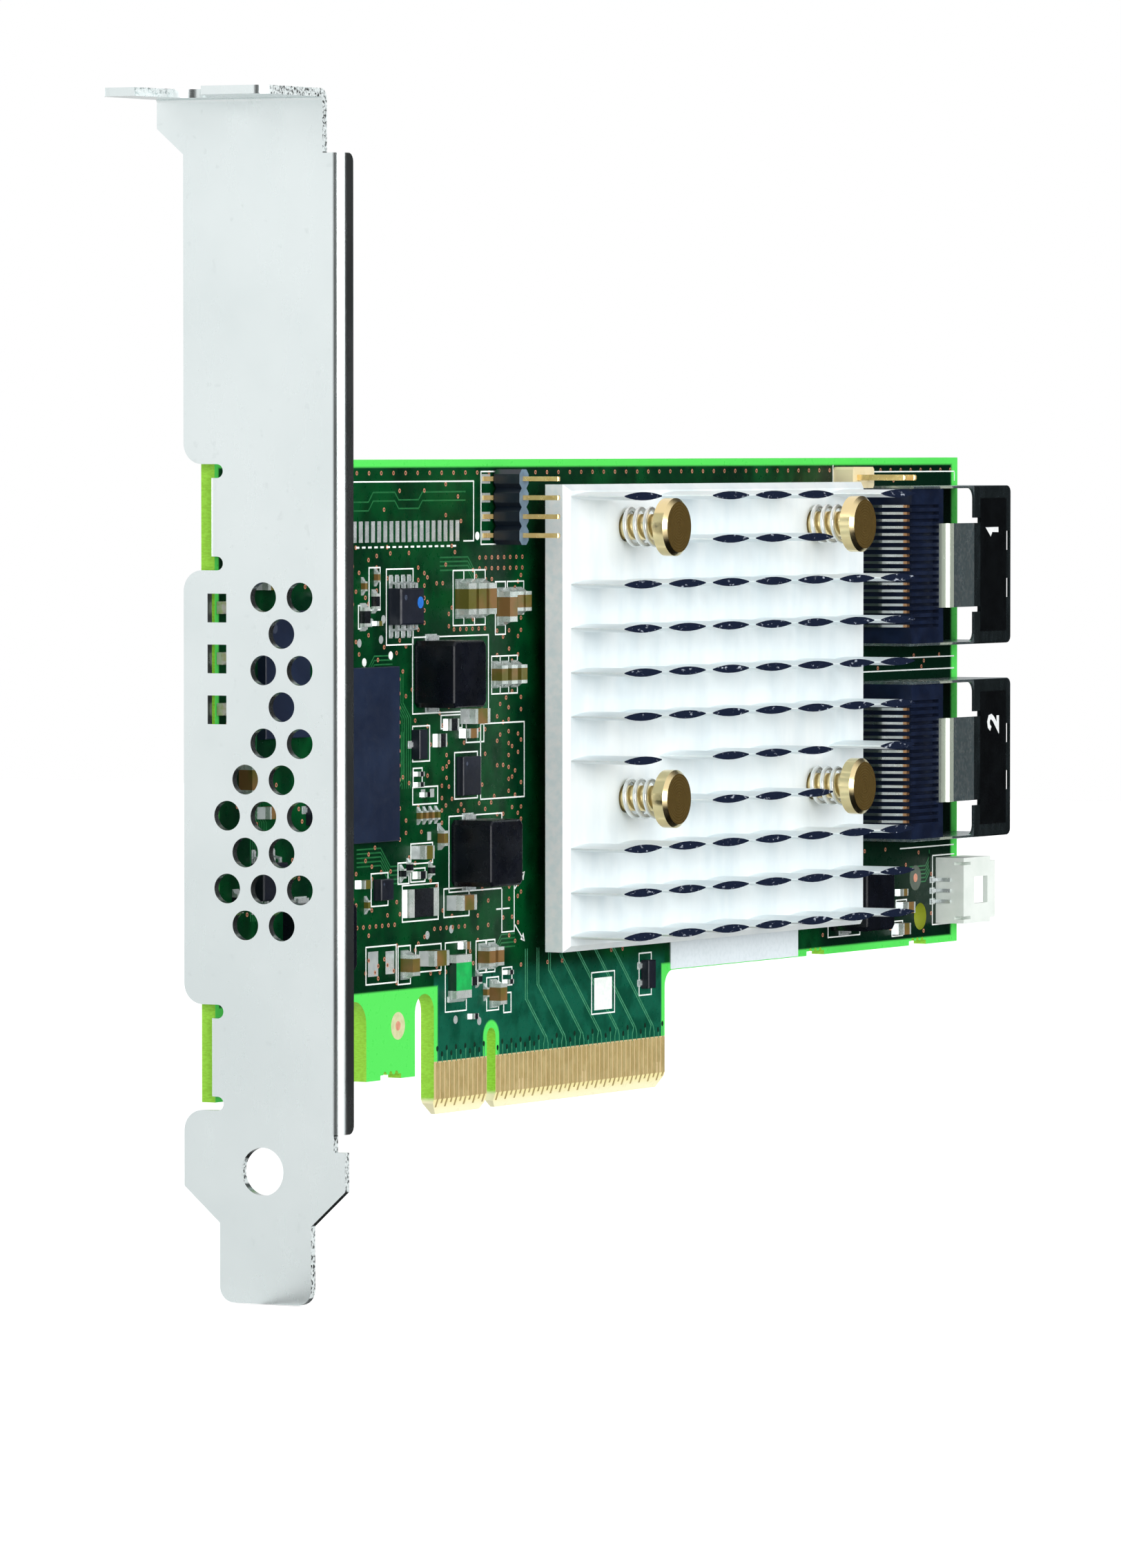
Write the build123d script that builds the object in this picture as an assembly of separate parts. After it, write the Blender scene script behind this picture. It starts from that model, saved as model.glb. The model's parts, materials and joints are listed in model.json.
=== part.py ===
from build123d import *
import os

# A RAID controller card: a half-length circuit board on a full-height mounting bracket.
# +X runs along the card from the bracket to the cable ports, +Z is up as the card stands in
# its slot, and the component side faces -Y. The origin is the middle of the key notch at the
# lower end of the edge contacts, in the board's mid-plane. All sizes are in millimetres, and
# a height h is measured from the component face, away from the board.

# Board
BOARD_T = 1.57
BOARD_RIGHT = 110.65
BOARD_TOP = 68.9
BOARD_LOWER_EDGE = 12.75
TONGUE_LEFT = -12.3
TONGUE_RIGHT = 38.95
TONGUE_FILLET = 1.8
TONGUE_CHAMFER = 1.2
KEY_WIDTH = 1.9
KEY_TOP = 7.6
KEY_MOUTH = 0.7
BEVEL_HEIGHT = 1.6
BEVEL_DEPTH = 0.55
HOOK_SLOT = 4.0
HOOK_WIDTH = 10.2
HOOK_BOTTOM = 4.3
FOOT_WIDTH = 7.5
FOOT_BOTTOM = 4.0
ARCH_FILLET = 2.5
SCAR_DEPTH = 0.5
SCAR_WIDTH = 4.3
SCARS_X = (74.9, 100.5)
BITE_R = 0.35
BITE_PITCH = 1.2
TOOLING_HOLE = (101.2, 16.0)
TOOLING_HOLE_R = 1.55

# Edge contacts
PAD_PITCH = 1.0
PAD_W = 0.7
PAD_T = 0.05
PAD_BOTTOM = 1.65
PAD_TOP = 5.45
SHORT_PAD_BOTTOM = 2.8
FIRST_PAD_X = 1.5
PADS_LEFT = 11
PADS_RIGHT = 38
SHORT_PADS = (16, 30, 47)

# Bracket
SHEET = 0.86
BRACKET_FACE = -58.5
BOARD_CLEARANCE = 0.64
BODY_LEFT = 1.96
BODY_WIDTH = 18.36
BRACKET_TOP = 106.08
TONGUE_END = -16.0
LIP_DEPTH = 2.5
LIP_TOP = 99.65
LIP_BOTTOM = 1.3
LIP_CORNER = 0.9
BEND_IN = 0.3
BEND_RUN = 0.6
FLANGE_DEPTH = 11.43
FLANGE_LEFT = 5.04
FLANGE_RIGHT = -14.3
FLANGE_CORNER = 1.5
EAR_BOTTOM = 102.3
EAR_SLANT = 2.6
NOTCH_LEFT = 0.0
NOTCH_W = 4.4
NOTCH_MOUTH = (0.7, -7.0)
NOTCH_DEPTH = 8.0
SHOULDER_TOP = -0.45
SHOULDER_BOTTOM = -4.4
SHOULDER_OUT = 0.4
SHOULDER_NECK = -15.5
TONGUE_SIDE_L = -2.2
TONGUE_SIDE_R = -12.85
TONGUE_NECK_Z = -8.0
TONGUE_CORNER = 1.6
ALIGN_HOLE = (-7.2, -2.67)
ALIGN_HOLE_R = 2.43
TAB_HEIGHT = 7.9
TAB_LENGTH = 9.5
TAB_RELIEF = 1.4
TAB_CORNER = 1.5
TAB_MOUTH_FILLET = 2.1
TABS_Z = (63.17, 8.68)
SCREW_INSET = 4.2
LED_WINDOW = (2.2, 2.9)
LED_WINDOW_Y = -1.94
LED_PITCH = 5.13
LED_TOP_Z = 54.03
VENT_R = 1.5
VENT_PITCH = 4.24
VENT_LEFT = -3.11
VENT_TOP_Z = 55.16
VENT_ROWS = ((2, 4), (3,), (2, 4), (3,), (2, 4), (1, 3), (0, 2, 4), (1, 3), (0, 2, 4), (1, 3))

# Bracket screws, driven from the back of the board into the bracket's tabs
SCREW_R = 1.25
SCREW_HOLE_R = 1.5
SCREW_HEAD_R = 2.3
SCREW_HEAD_H = 1.0
SCREW_HEAD_BEVEL = 0.5
SCREW_RECESS = 0.6
SCREW_RECESS_W = 0.7
SCREW_PAST_TAB = 0.8

# Controller chip and heatsink
CHIP_X = 42.2
CHIP_Z = 47.0
CHIP_SIZE = 31.0
CHIP_SUBSTRATE = 1.4
CHIP_LID = 24.0
CHIP_H = 2.2
THERMAL_PAD_T = 0.3
SINK_LEFT = 7.36
SINK_RIGHT = 77.1
SINK_BOTTOM = 16.3
SINK_TOP = 66.2
SINK_BASE = 2.75
SINK_CHAMFER = 0.65
FIN_HEIGHT = 6.5
FIN_LENGTH = 8.4
FIN_T = 0.9
FIN_TIP = 0.12
FIN_COLUMNS = 7
FIN_ROWS = 11
FIN_PITCH_X = 10.0
FIN_PITCH_Z = 4.7
FIN_TOP_Z = 64.95

# Spring-loaded pins that hold the heatsink
PIN_PITCH_X = 43.8
PIN_PITCH_Z = 29.2
PIN_UPPER_Z = 61.6
PIN_SHANK_R = 1.4
PIN_HOLE_R = 1.6
PIN_HEAD_R = 3.12
PIN_HEAD_H = 1.6
PIN_HEAD_CHAMFER = 0.4
PIN_BARB_R = 1.9
PIN_BARB_TIP_R = 0.8
PIN_BARB_H = 2.6
PIN_SPLIT = 0.6
SPRING_R = 1.95
SPRING_WIRE = 0.5
SPRING_LENGTH = 4.9
SPRING_TURNS = 3.5
SPRING_SIDES = 4
SPRING_CLEARANCE = 0.03

# Cable ports
PORTS_Z = (56.6, 34.35)
PORT_LEFT = 86.0
PORT_HOUSING_RIGHT = 94.05
PORT_W = 17.6
PORT_H = 6.5
PORT_PIN_COUNT = 18
PORT_PIN_PITCH = 0.8
PORT_PIN_W = 0.3
PORT_PIN_T = 0.2
PORT_LEAD_OUT = 0.7
PORT_LEAD_BEND = 3.2
PORT_LEAD_END = 0.6
PORT_TAIL = 0.5
COMB_SLOT = 0.36
COMB_DEPTH = 0.75
COMB_RIGHT = 92.9
PLUG_SLOT_H = 2.8
PLUG_SLOT_T = 1.3
PLUG_SLOT_DEPTH = 5.0
PLUG_SLOT_W = 15.2
CAGE_T = 0.3
CAGE_RIGHT = 111.0
CAGE_HOOD_LEFT = 101.4
CAGE_CORNER = 1.2
CAGE_END_R = 0.8
CAGE_BEND = 0.25
STRAP_W = 9.6
STRAP_LEFT = 93.0
STRAP_RELIEF = (1.4, 0.6)
STRAP_RIB = (94.1, 95.8, 0.35)
LATCH_SLOT = (0.8, 2.2)
LATCH_SLOT_PITCH = 5.45
LATCH_SLOT_X = 110.15
LABEL_SIZE = (6.7, 15.3)
LABEL_X = 106.15
LABEL_T = 0.1

# Side-entry power connector
SIDE_LEFT = 105.2
SIDE_RIGHT = 113.35
SIDE_Z = 18.85
SIDE_W = 7.6
SIDE_MOUTH = (1.2, 6.6)
SIDE_H = 3.6
SIDE_WALL = 0.6
SIDE_CAVITY = 6.2
SIDE_WINDOW = (3.4, 3.1)
SIDE_WINDOW_X = 109.7
SIDE_SLOT = (1.8, 0.35, 1.2)
SIDE_SLOT_INSET = 0.65
SIDE_PIN_COUNT = 3
SIDE_PIN_PITCH = 1.25
SIDE_PIN_W = 0.4
SIDE_PIN_T = 0.25
SIDE_PIN_H = 1.7
SIDE_PIN_END = 110.6
SIDE_TAIL = 1.2

# Debug header and jumper header
HEADER_X = 1.1
HEADER_Z = 63.83
HEADER_PITCH = 2.0
HEADER_PIN_COUNT = 4
HEADER_W = 2.0
HEADER_STAND = 0.3
HEADER_TOP = 3.4
HEADER_PIN = 0.5
HEADER_TIP = 7.7
HEADER_TAIL = 1.9
JUMPER_X = 81.85
JUMPER_Z = 66.68
JUMPER_PITCH = 2.54
JUMPER_LENGTH = 5.3
JUMPER_W = 2.4
JUMPER_H = 2.5
JUMPER_PIN = 0.64
JUMPER_TIP = 8.5
JUMPER_TAIL = 1.2

# Chips as (centre x, centre z, width along x, height along z, thickness)
MEMORY_CHIP = (-27.1, 38.3, 12.0, 18.2, 1.0)
CLOCK_CHIP = (-19.45, 53.6, 4.9, 3.8, 1.6)
CLOCK_LEAD_COUNT = 4
CLOCK_LEAD_PITCH = 1.27
CLOCK_LEAD_W = 0.45
CLOCK_LEAD_REACH = (0.35, 1.25)
LEAD_T = 0.18
POWER_CHIPS = ((-5.6, 35.5, 3.8, 4.1, 0.9), (-23.7, 24.2, 2.6, 2.2, 1.0))
SEEN_TRANSISTORS = ((-16.1, 39.1, 1.7, 3.1, 1.0), (34.3, 12.6, 1.7, 3.1, 1.0))
TRANSISTOR_LEAD = (0.7, 0.5)
TRANSISTOR_SPREAD = 0.95

# Inductors, as centres
SEEN_INDUCTORS = ((-12.9, 46.45), (-5.05, 27.4), (81.9, 18.85))
INDUCTOR_SIZE = 7.0
INDUCTOR_H = 4.8
INDUCTOR_EDGE = 0.5
INDUCTOR_ROUND = 0.3
INDUCTOR_FOOT = (2.2, 0.5, 0.4)

# Ceramic capacitors, as high as they are wide, as (centre x, centre z, length, width, turn);
# turn 1 stands them along z
SEEN_CAPACITORS = (
    (-6.9, 54.2, 3.3, 1.65, 1),
    (-4.7, 54.2, 3.3, 1.65, 1),
    (-2.5, 54.2, 3.3, 1.65, 1),
    (2.0, 53.25, 3.2, 1.65, 1),
    (4.12, 53.8, 2.1, 1.3, 1),
    (5.9, 53.8, 2.1, 1.3, 1),
    (0.72, 46.05, 2.0, 1.3, 1),
    (2.85, 46.05, 2.0, 1.3, 1),
    (4.95, 46.05, 2.0, 1.3, 1),
    (-4.6, 41.8, 3.2, 1.6, 0),
    (-5.5, 40.0, 2.0, 1.0, 0),
    (-2.2, 16.2, 2.0, 1.4, 1),
    (-0.1, 16.2, 2.0, 1.3, 1),
    (0.3, 12.15, 2.2, 1.4, 1),
    (-18.6, 16.1, 2.2, 1.5, 1),
    (-13.4, 16.6, 3.2, 1.6, 0),
    (-7.5, 22.2, 3.2, 1.6, 0),
    (-15.6, 27.8, 2.0, 1.4, 0),
    (-27.6, 24.9, 1.6, 0.9, 0),
    (-6.3, 17.6, 1.0, 0.8, 0),
    (-15.7, 31.6, 1.0, 0.5, 1),
    (-14.5, 31.6, 1.0, 0.5, 1),
    (-13.2, 31.6, 1.0, 0.5, 1),
    (-12.0, 31.6, 1.0, 0.5, 1),
    (-11.1, 29.1, 1.6, 0.8, 1),
    (-24.6, 56.7, 1.0, 0.5, 1),
    (-24.3, 51.9, 1.0, 0.5, 0),
    (-27.3, 55.8, 1.0, 0.5, 1),
    (-26.7, 22.7, 1.0, 0.5, 1),
    (-1.5, 12.4, 1.0, 0.5, 1),
    (95.3, 14.85, 2.0, 1.3, 0),
    (96.4, 17.25, 2.0, 1.3, 0),
    (95.9, 19.0, 1.4, 0.8, 0),
)

# Chip resistors and the fuse: the same form, but low
SEEN_RESISTORS = (
    (-15.4, 22.5, 6.3, 2.95, 0),
    (-4.6, 13.75, 1.6, 0.9, 0),
    (-27.2, 52.6, 2.0, 1.25, 1),
    (-25.0, 54.2, 1.6, 0.8, 1),
    (-11.3, 39.4, 1.6, 1.4, 0),
    (-8.9, 41.0, 2.0, 1.25, 0),
    (-15.8, 36.0, 1.0, 0.5, 0),
    (-15.8, 34.9, 1.0, 0.5, 0),
    (-14.4, 33.8, 1.0, 0.5, 0),
    (-17.9, 26.3, 1.0, 0.5, 1),
    (-19.4, 25.7, 1.0, 0.5, 1),
    (-15.6, 25.4, 1.6, 0.8, 0),
    (-13.3, 25.8, 1.0, 0.5, 1),
    (-3.2, 13.9, 1.0, 0.5, 1),
    (-4.2, 10.0, 1.0, 0.6, 0),
    (3.4, 14.3, 1.0, 0.5, 0),
    (3.4, 13.3, 1.0, 0.5, 0),
)
RESISTOR_H = 0.6
FUSE = (-7.6, 14.4, 4.6, 3.3, 1)
FUSE_H = 1.0
END_CAP = 0.18
BACK_COUNT = 4
BACK_PITCH = 3.6
BACK_CAPACITOR = (1.0, 2.0, 0.6)

# The parts that the bracket hides, in the same forms, with x measured from the board's left edge
EDGE_MEMORY_CHIP = (13.0, 47.0, 9.0, 13.0, 1.0)
EDGE_CLOCK_CHIP = (9.5, 26.0, 4.9, 3.8, 1.6)
EDGE_TRANSISTOR = (19.0, 33.0, 1.7, 3.1, 1.0)
EDGE_INDUCTOR = (17.0, 20.0)
EDGE_RESISTOR = (4.0, 24.0, 2.0, 1.25, 1)
EDGE_CAPACITORS = (
    (9.5, 56.5, 3.2, 1.6, 0),
    (9.5, 58.9, 3.2, 1.6, 0),
    (20.5, 56.0, 2.0, 1.25, 1),
    (5.5, 36.5, 3.2, 1.6, 1),
    (9.8, 33.0, 2.0, 1.25, 0),
    (24.6, 21.0, 3.2, 1.6, 1),
    (9.4, 18.6, 3.2, 1.6, 1),
)

# Status lamps behind the bracket's windows, bare pads, and the paper sticker
LED_SIZE = (2.0, 1.25, 0.9)
LED_INSET = 1.4
SERVICE_COUNT = 18
SERVICE_PITCH = 1.27
SERVICE_RIGHT = -7.3
SERVICE_Z = 61.4
SERVICE_SIZE = (0.75, 2.2)
STICKER = (55.35, 14.4, 30.3, 3.1)
STICKER_T = 0.1


def from_edge(*places):
    """Places measured from the board's left edge, as places on the board."""
    return tuple((BOARD_LEFT + x, *rest) for x, *rest in places)


# Values that follow from those above
BOARD_LEFT = BRACKET_FACE + SHEET + BOARD_CLEARANCE
MEMORY_CHIPS = (MEMORY_CHIP,) + from_edge(EDGE_MEMORY_CHIP)
CLOCK_CHIPS = (CLOCK_CHIP,) + from_edge(EDGE_CLOCK_CHIP)
TRANSISTORS = SEEN_TRANSISTORS + from_edge(EDGE_TRANSISTOR)
INDUCTORS = SEEN_INDUCTORS + from_edge(EDGE_INDUCTOR)
CAPACITORS = SEEN_CAPACITORS + from_edge(*EDGE_CAPACITORS)
RESISTORS = SEEN_RESISTORS + from_edge(EDGE_RESISTOR)
BODY_RIGHT = BODY_LEFT - BODY_WIDTH
BEND_OUT = BEND_IN + SHEET
FACE = -BOARD_T / 2
SCREWS_X = BRACKET_FACE + TAB_LENGTH - SCREW_INSET
HOOK_RIGHT = TONGUE_LEFT - HOOK_SLOT
HOOK_LEFT = HOOK_RIGHT - HOOK_WIDTH
FOOT_RIGHT = BOARD_LEFT + FOOT_WIDTH
SINK_BACK = CHIP_H + THERMAL_PAD_T
SINK_FACE = SINK_BACK + SINK_BASE
SINK_X = (SINK_LEFT + SINK_RIGHT) / 2
PIN_TOP = SINK_FACE + SPRING_LENGTH + PIN_HEAD_H
PINS_X = (SINK_X - PIN_PITCH_X / 2, SINK_X + PIN_PITCH_X / 2)
PINS = [(x, z) for x in PINS_X for z in (PIN_UPPER_Z, PIN_UPPER_Z - PIN_PITCH_Z)]


def raised(sketch, low, high):
    """A sketch in X and Z, made solid between two heights over the component face."""
    return extrude(Plane.XZ.offset(BOARD_T / 2 + low) * sketch, amount=high - low)


def block(x, z, width, height, low, high):
    """A plain block by its centre in X and Z, between two heights."""
    return raised(Pos(x, z) * Rectangle(width, height), low, high)


def span(left, right, bottom, top):
    """A rectangle by its four sides."""
    return Pos((left + right) / 2, (bottom + top) / 2) * Rectangle(abs(right - left), abs(top - bottom))


def disc(place, radius):
    return Pos(*place) * Circle(radius)


def polygon(*points):
    return make_face(Polyline(*points, close=True))


def rounded(sketch, radius, *points):
    """Rounds the sketch's corners that lie at these points."""
    chosen = [v for v in sketch.vertices() if any(abs(v.X - x) + abs(v.Y - y) < 1e-4 for x, y in points)]
    return fillet(chosen, radius)


def outer_edges(solid):
    """The edges round the face that points away from the board."""
    return solid.faces().sort_by(Axis.Y)[0].edges()


def row(count, pitch):
    """Offsets of a row of things about its middle."""
    return [(i - (count - 1) / 2) * pitch for i in range(count)]


def save(node, *shapes):
    """Writes one node, which holds one or more separate solids."""
    solids = [s for shape in shapes for s in shape.solids()]
    export_step(solids[0] if len(solids) == 1 else Compound(solids), f"parts/{node}.step")


def board_outline():
    """The board's edge with its contact tongue, hook, foot and the arch between them."""
    slot_top = BOARD_LOWER_EDGE + 0.1
    points = [
        (BOARD_LEFT, BOARD_TOP),
        (BOARD_RIGHT, BOARD_TOP),
        (BOARD_RIGHT, BOARD_LOWER_EDGE),
        (TONGUE_RIGHT, BOARD_LOWER_EDGE),
        (TONGUE_RIGHT, TONGUE_CHAMFER),
        (TONGUE_RIGHT - TONGUE_CHAMFER, 0),
        (TONGUE_LEFT + TONGUE_CHAMFER, 0),
        (TONGUE_LEFT, TONGUE_CHAMFER),
        (TONGUE_LEFT, slot_top),
        (HOOK_RIGHT, slot_top),
        (HOOK_RIGHT, HOOK_BOTTOM),
        (HOOK_LEFT, HOOK_BOTTOM),
        (HOOK_LEFT, BOARD_LOWER_EDGE),
        (FOOT_RIGHT, BOARD_LOWER_EDGE),
        (FOOT_RIGHT, FOOT_BOTTOM),
        (BOARD_LEFT, FOOT_BOTTOM),
    ]
    outline = polygon(*points)
    outline = rounded(outline, TONGUE_FILLET, points[3])
    outline = rounded(outline, HOOK_SLOT / 2 - 0.05, points[8], points[9])
    outline = rounded(outline, ARCH_FILLET, points[12], points[13])
    mouth = KEY_WIDTH / 2 + KEY_MOUTH
    outline -= span(-KEY_WIDTH / 2, KEY_WIDTH / 2, -1, KEY_TOP) + disc((0, KEY_TOP), KEY_WIDTH / 2)
    outline -= polygon((-mouth, 0), (mouth, 0), (0, mouth))
    for x in SCARS_X:
        outline -= break_off_scar(x, BOARD_LOWER_EDGE)
    return outline - break_off_scar((HOOK_LEFT + HOOK_RIGHT) / 2, HOOK_BOTTOM)


def break_off_scar(x, edge):
    """The shallow step with drilled bites where the board was snapped from its panel."""
    scar = span(x - SCAR_WIDTH / 2, x + SCAR_WIDTH / 2, edge - 1, edge + SCAR_DEPTH)
    for dx in row(3, BITE_PITCH):
        scar += disc((x + dx, edge + SCAR_DEPTH), BITE_R)
    return scar


def circuit_board():
    outline = board_outline() - disc(TOOLING_HOLE, TOOLING_HOLE_R)
    for place in PINS:
        outline -= disc(place, PIN_HOLE_R)
    for z in TABS_Z:
        outline -= disc((SCREWS_X, z), SCREW_HOLE_R)
    board = raised(outline, -BOARD_T, 0)
    for side in (-1, 1):
        board -= contact_bevel(side)
    return board


def contact_bevel(side):
    """The wedge cut off one face along the lower end of the contacts."""
    face = side * BOARD_T / 2
    out = face + side
    wedge = polygon((face, BEVEL_HEIGHT), (face - side * BEVEL_DEPTH, 0), (out, 0), (out, BEVEL_HEIGHT))
    return extrude(Plane.YZ.offset(TONGUE_LEFT - 1) * wedge, amount=TONGUE_RIGHT - TONGUE_LEFT + 2)


def edge_contacts():
    """Gold pads on both faces of the tongue; a few are short so that they mate last."""
    places = [-FIRST_PAD_X - i * PAD_PITCH for i in reversed(range(PADS_LEFT))]
    places += [FIRST_PAD_X + i * PAD_PITCH for i in range(PADS_RIGHT)]
    pads = []
    for i, x in enumerate(places):
        bottom = SHORT_PAD_BOTTOM if i in SHORT_PADS else PAD_BOTTOM
        pad = span(x - PAD_W / 2, x + PAD_W / 2, bottom, PAD_TOP)
        pads.append(raised(pad, 0, PAD_T))
        pads.append(raised(pad, -BOARD_T - PAD_T, -BOARD_T))
    return pads


def bracket_front():
    """The flat front of the bracket, in Y and Z, from the tongue up to the flange."""
    lip_bend = BODY_RIGHT + BEND_OUT
    flange_bend = BRACKET_TOP - BEND_OUT
    points = [
        (FLANGE_LEFT, flange_bend),
        (FLANGE_LEFT, EAR_BOTTOM),
        (BODY_LEFT, EAR_BOTTOM - EAR_SLANT),
        (BODY_LEFT, SHOULDER_BOTTOM),
        (TONGUE_SIDE_L, TONGUE_NECK_Z),
        (TONGUE_SIDE_L, TONGUE_END),
        (TONGUE_SIDE_R, TONGUE_END),
        (TONGUE_SIDE_R, TONGUE_NECK_Z),
        (BODY_RIGHT - SHOULDER_OUT, SHOULDER_BOTTOM),
        (BODY_RIGHT - SHOULDER_OUT, SHOULDER_TOP),
        (SHOULDER_NECK, SHOULDER_TOP),
        (SHOULDER_NECK, LIP_BOTTOM),
        (lip_bend, LIP_BOTTOM),
        (lip_bend, LIP_TOP),
        (FLANGE_RIGHT, LIP_TOP),
        (FLANGE_RIGHT, flange_bend),
    ]
    outline = rounded(polygon(*points), TONGUE_CORNER, points[5], points[6])
    outline -= disc(ALIGN_HOLE, ALIGN_HOLE_R)
    for z in TABS_Z:
        outline -= tab_gap(z)
    for dz in row(3, LED_PITCH):
        outline -= Pos(LED_WINDOW_Y, LED_TOP_Z - LED_PITCH + dz) * Rectangle(*LED_WINDOW)
    for place in vents():
        outline -= disc(place, VENT_R)
    return outline


def vents():
    """Ventilation holes in staggered rows, each row half a pitch over from the next."""
    drop = VENT_PITCH * 3 ** 0.5 / 2
    places = []
    for i, columns in enumerate(VENT_ROWS):
        places += [(VENT_LEFT - column * VENT_PITCH / 2, VENT_TOP_Z - i * drop) for column in columns]
    return places


def tab_gap(z):
    """The gap in the bracket's edge from which one mounting tab was folded."""
    half = TAB_HEIGHT / 2 + TAB_RELIEF
    bend = FACE - BEND_OUT
    beyond = BODY_LEFT + 1
    gap = span(bend, beyond, z - half, z + half)
    for side in (-1, 1):
        gap += disc((bend, z + side * (half - TAB_RELIEF / 2)), TAB_RELIEF / 2)
        corner = (BODY_LEFT - TAB_MOUTH_FILLET, z + side * (half + TAB_MOUTH_FILLET))
        gap += span(corner[0], beyond, z + side * half, corner[1]) - disc(corner, TAB_MOUTH_FILLET)
    return gap


def bent(a, b, c, inside):
    """A sheet in section, round a bend: a, b and c outside, then the points inside."""
    section = polygon(a, b, c, *inside)
    section = rounded(section, BEND_OUT, b)
    return rounded(section, BEND_IN, inside[1])


def folded_tab(z):
    """One tab, bent back so that it lies on the board's component face."""
    back = BRACKET_FACE + SHEET
    start = FACE - BEND_OUT - BEND_RUN
    end = BRACKET_FACE + TAB_LENGTH
    inside = [(end, FACE - SHEET), (back, FACE - SHEET), (back, start)]
    section = bent((BRACKET_FACE, start), (BRACKET_FACE, FACE), (end, FACE), inside)
    tab = extrude(Plane.XY.offset(z - TAB_HEIGHT / 2) * section, amount=TAB_HEIGHT)
    tab = fillet(tab.faces().sort_by(Axis.X)[-1].edges().filter_by(Axis.Y), TAB_CORNER)
    return tab - raised(disc((SCREWS_X, z), SCREW_R), -1, SHEET + 1)


def flange():
    """The top flange, bent forwards, with the notch for the chassis screw."""
    front = BRACKET_FACE - FLANGE_DEPTH
    back = BRACKET_FACE + SHEET
    start = BRACKET_TOP - BEND_OUT - BEND_RUN
    under = BRACKET_TOP - SHEET
    inside = [(front, under), (BRACKET_FACE, under), (BRACKET_FACE, start)]
    section = bent((back, start), (back, BRACKET_TOP), (front, BRACKET_TOP), inside)
    plate = extrude(Plane.XZ.offset(-FLANGE_LEFT) * section, amount=FLANGE_LEFT - FLANGE_RIGHT)
    plate = fillet(plate.faces().sort_by(Axis.X)[0].edges().filter_by(Axis.Z), FLANGE_CORNER)
    right = NOTCH_LEFT - NOTCH_W
    left_mouth, right_mouth = NOTCH_MOUTH
    root = front + NOTCH_DEPTH - NOTCH_W / 2
    sides = [(root, NOTCH_LEFT), (root, right), (front, right_mouth), (front, left_mouth)]
    notch = polygon(*sides) + span(front - 1, front, right_mouth, left_mouth)
    notch += disc((root, (right + NOTCH_LEFT) / 2), NOTCH_W / 2)
    return plate - extrude(Plane.XY.offset(under - 1) * notch, amount=SHEET + 2)


def lip():
    """The right edge of the bracket, bent back into a stiffening lip."""
    back = BRACKET_FACE + SHEET
    start = BODY_RIGHT + BEND_OUT + BEND_RUN
    end = BRACKET_FACE + LIP_DEPTH
    inside = [(end, BODY_RIGHT + SHEET), (back, BODY_RIGHT + SHEET), (back, start)]
    section = bent((BRACKET_FACE, start), (BRACKET_FACE, BODY_RIGHT), (end, BODY_RIGHT), inside)
    strip = extrude(Plane.XY.offset(LIP_BOTTOM) * section, amount=LIP_TOP - LIP_BOTTOM)
    return fillet(strip.faces().sort_by(Axis.X)[-1].edges().filter_by(Axis.Y), LIP_CORNER)


def mounting_bracket():
    bracket = extrude(Plane.YZ.offset(BRACKET_FACE) * bracket_front(), amount=SHEET)
    return bracket + flange() + lip() + folded_tab(TABS_Z[0]) + folded_tab(TABS_Z[1])


def bracket_screws():
    """Screws with low bevelled heads, from the back of the board, with a cross recess."""
    low = -BOARD_T - SCREW_HEAD_H
    cross = Rectangle(SCREW_HEAD_R, SCREW_RECESS_W) + Rectangle(SCREW_RECESS_W, SCREW_HEAD_R)
    screws = []
    for z in TABS_Z:
        head = raised(disc((SCREWS_X, z), SCREW_HEAD_R), low, -BOARD_T)
        head = chamfer(head.faces().sort_by(Axis.Y)[-1].edges(), SCREW_HEAD_BEVEL)
        head -= raised(Pos(SCREWS_X, z) * cross, low - 1, low + SCREW_RECESS)
        screws.append(head + raised(disc((SCREWS_X, z), SCREW_R), -BOARD_T, SHEET + SCREW_PAST_TAB))
    return screws


def controller_chip():
    substrate = block(CHIP_X, CHIP_Z, CHIP_SIZE, CHIP_SIZE, 0, CHIP_SUBSTRATE)
    return substrate + block(CHIP_X, CHIP_Z, CHIP_LID, CHIP_LID, CHIP_SUBSTRATE, CHIP_H)


def fin_profile():
    """A lens: two shallow arcs that meet in thin edges."""
    half = FIN_LENGTH / 2
    tip = FIN_TIP / 2
    upper = ThreePointArc((-half, tip), (0, FIN_T / 2), (half, tip))
    lower = ThreePointArc((half, -tip), (0, -FIN_T / 2), (-half, -tip))
    return make_face([upper, Line(upper @ 1, lower @ 0), lower, Line(lower @ 1, upper @ 0)])


def fouls_pin(x, z, pin):
    """Beside a pin the fins of two columns go; over and under it, those of the nearer one."""
    across = abs(x - pin[0])
    along = abs(z - pin[1])
    beside = along < FIN_PITCH_Z / 2 and across < FIN_PITCH_X
    return beside or (along < FIN_PITCH_Z and across < FIN_LENGTH / 2)


def fin_places():
    rows = [FIN_TOP_Z - i * FIN_PITCH_Z for i in range(FIN_ROWS)]
    columns = [SINK_X + dx for dx in row(FIN_COLUMNS, FIN_PITCH_X)]
    return [(x, z) for z in rows for x in columns if not any(fouls_pin(x, z, pin) for pin in PINS)]


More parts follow.
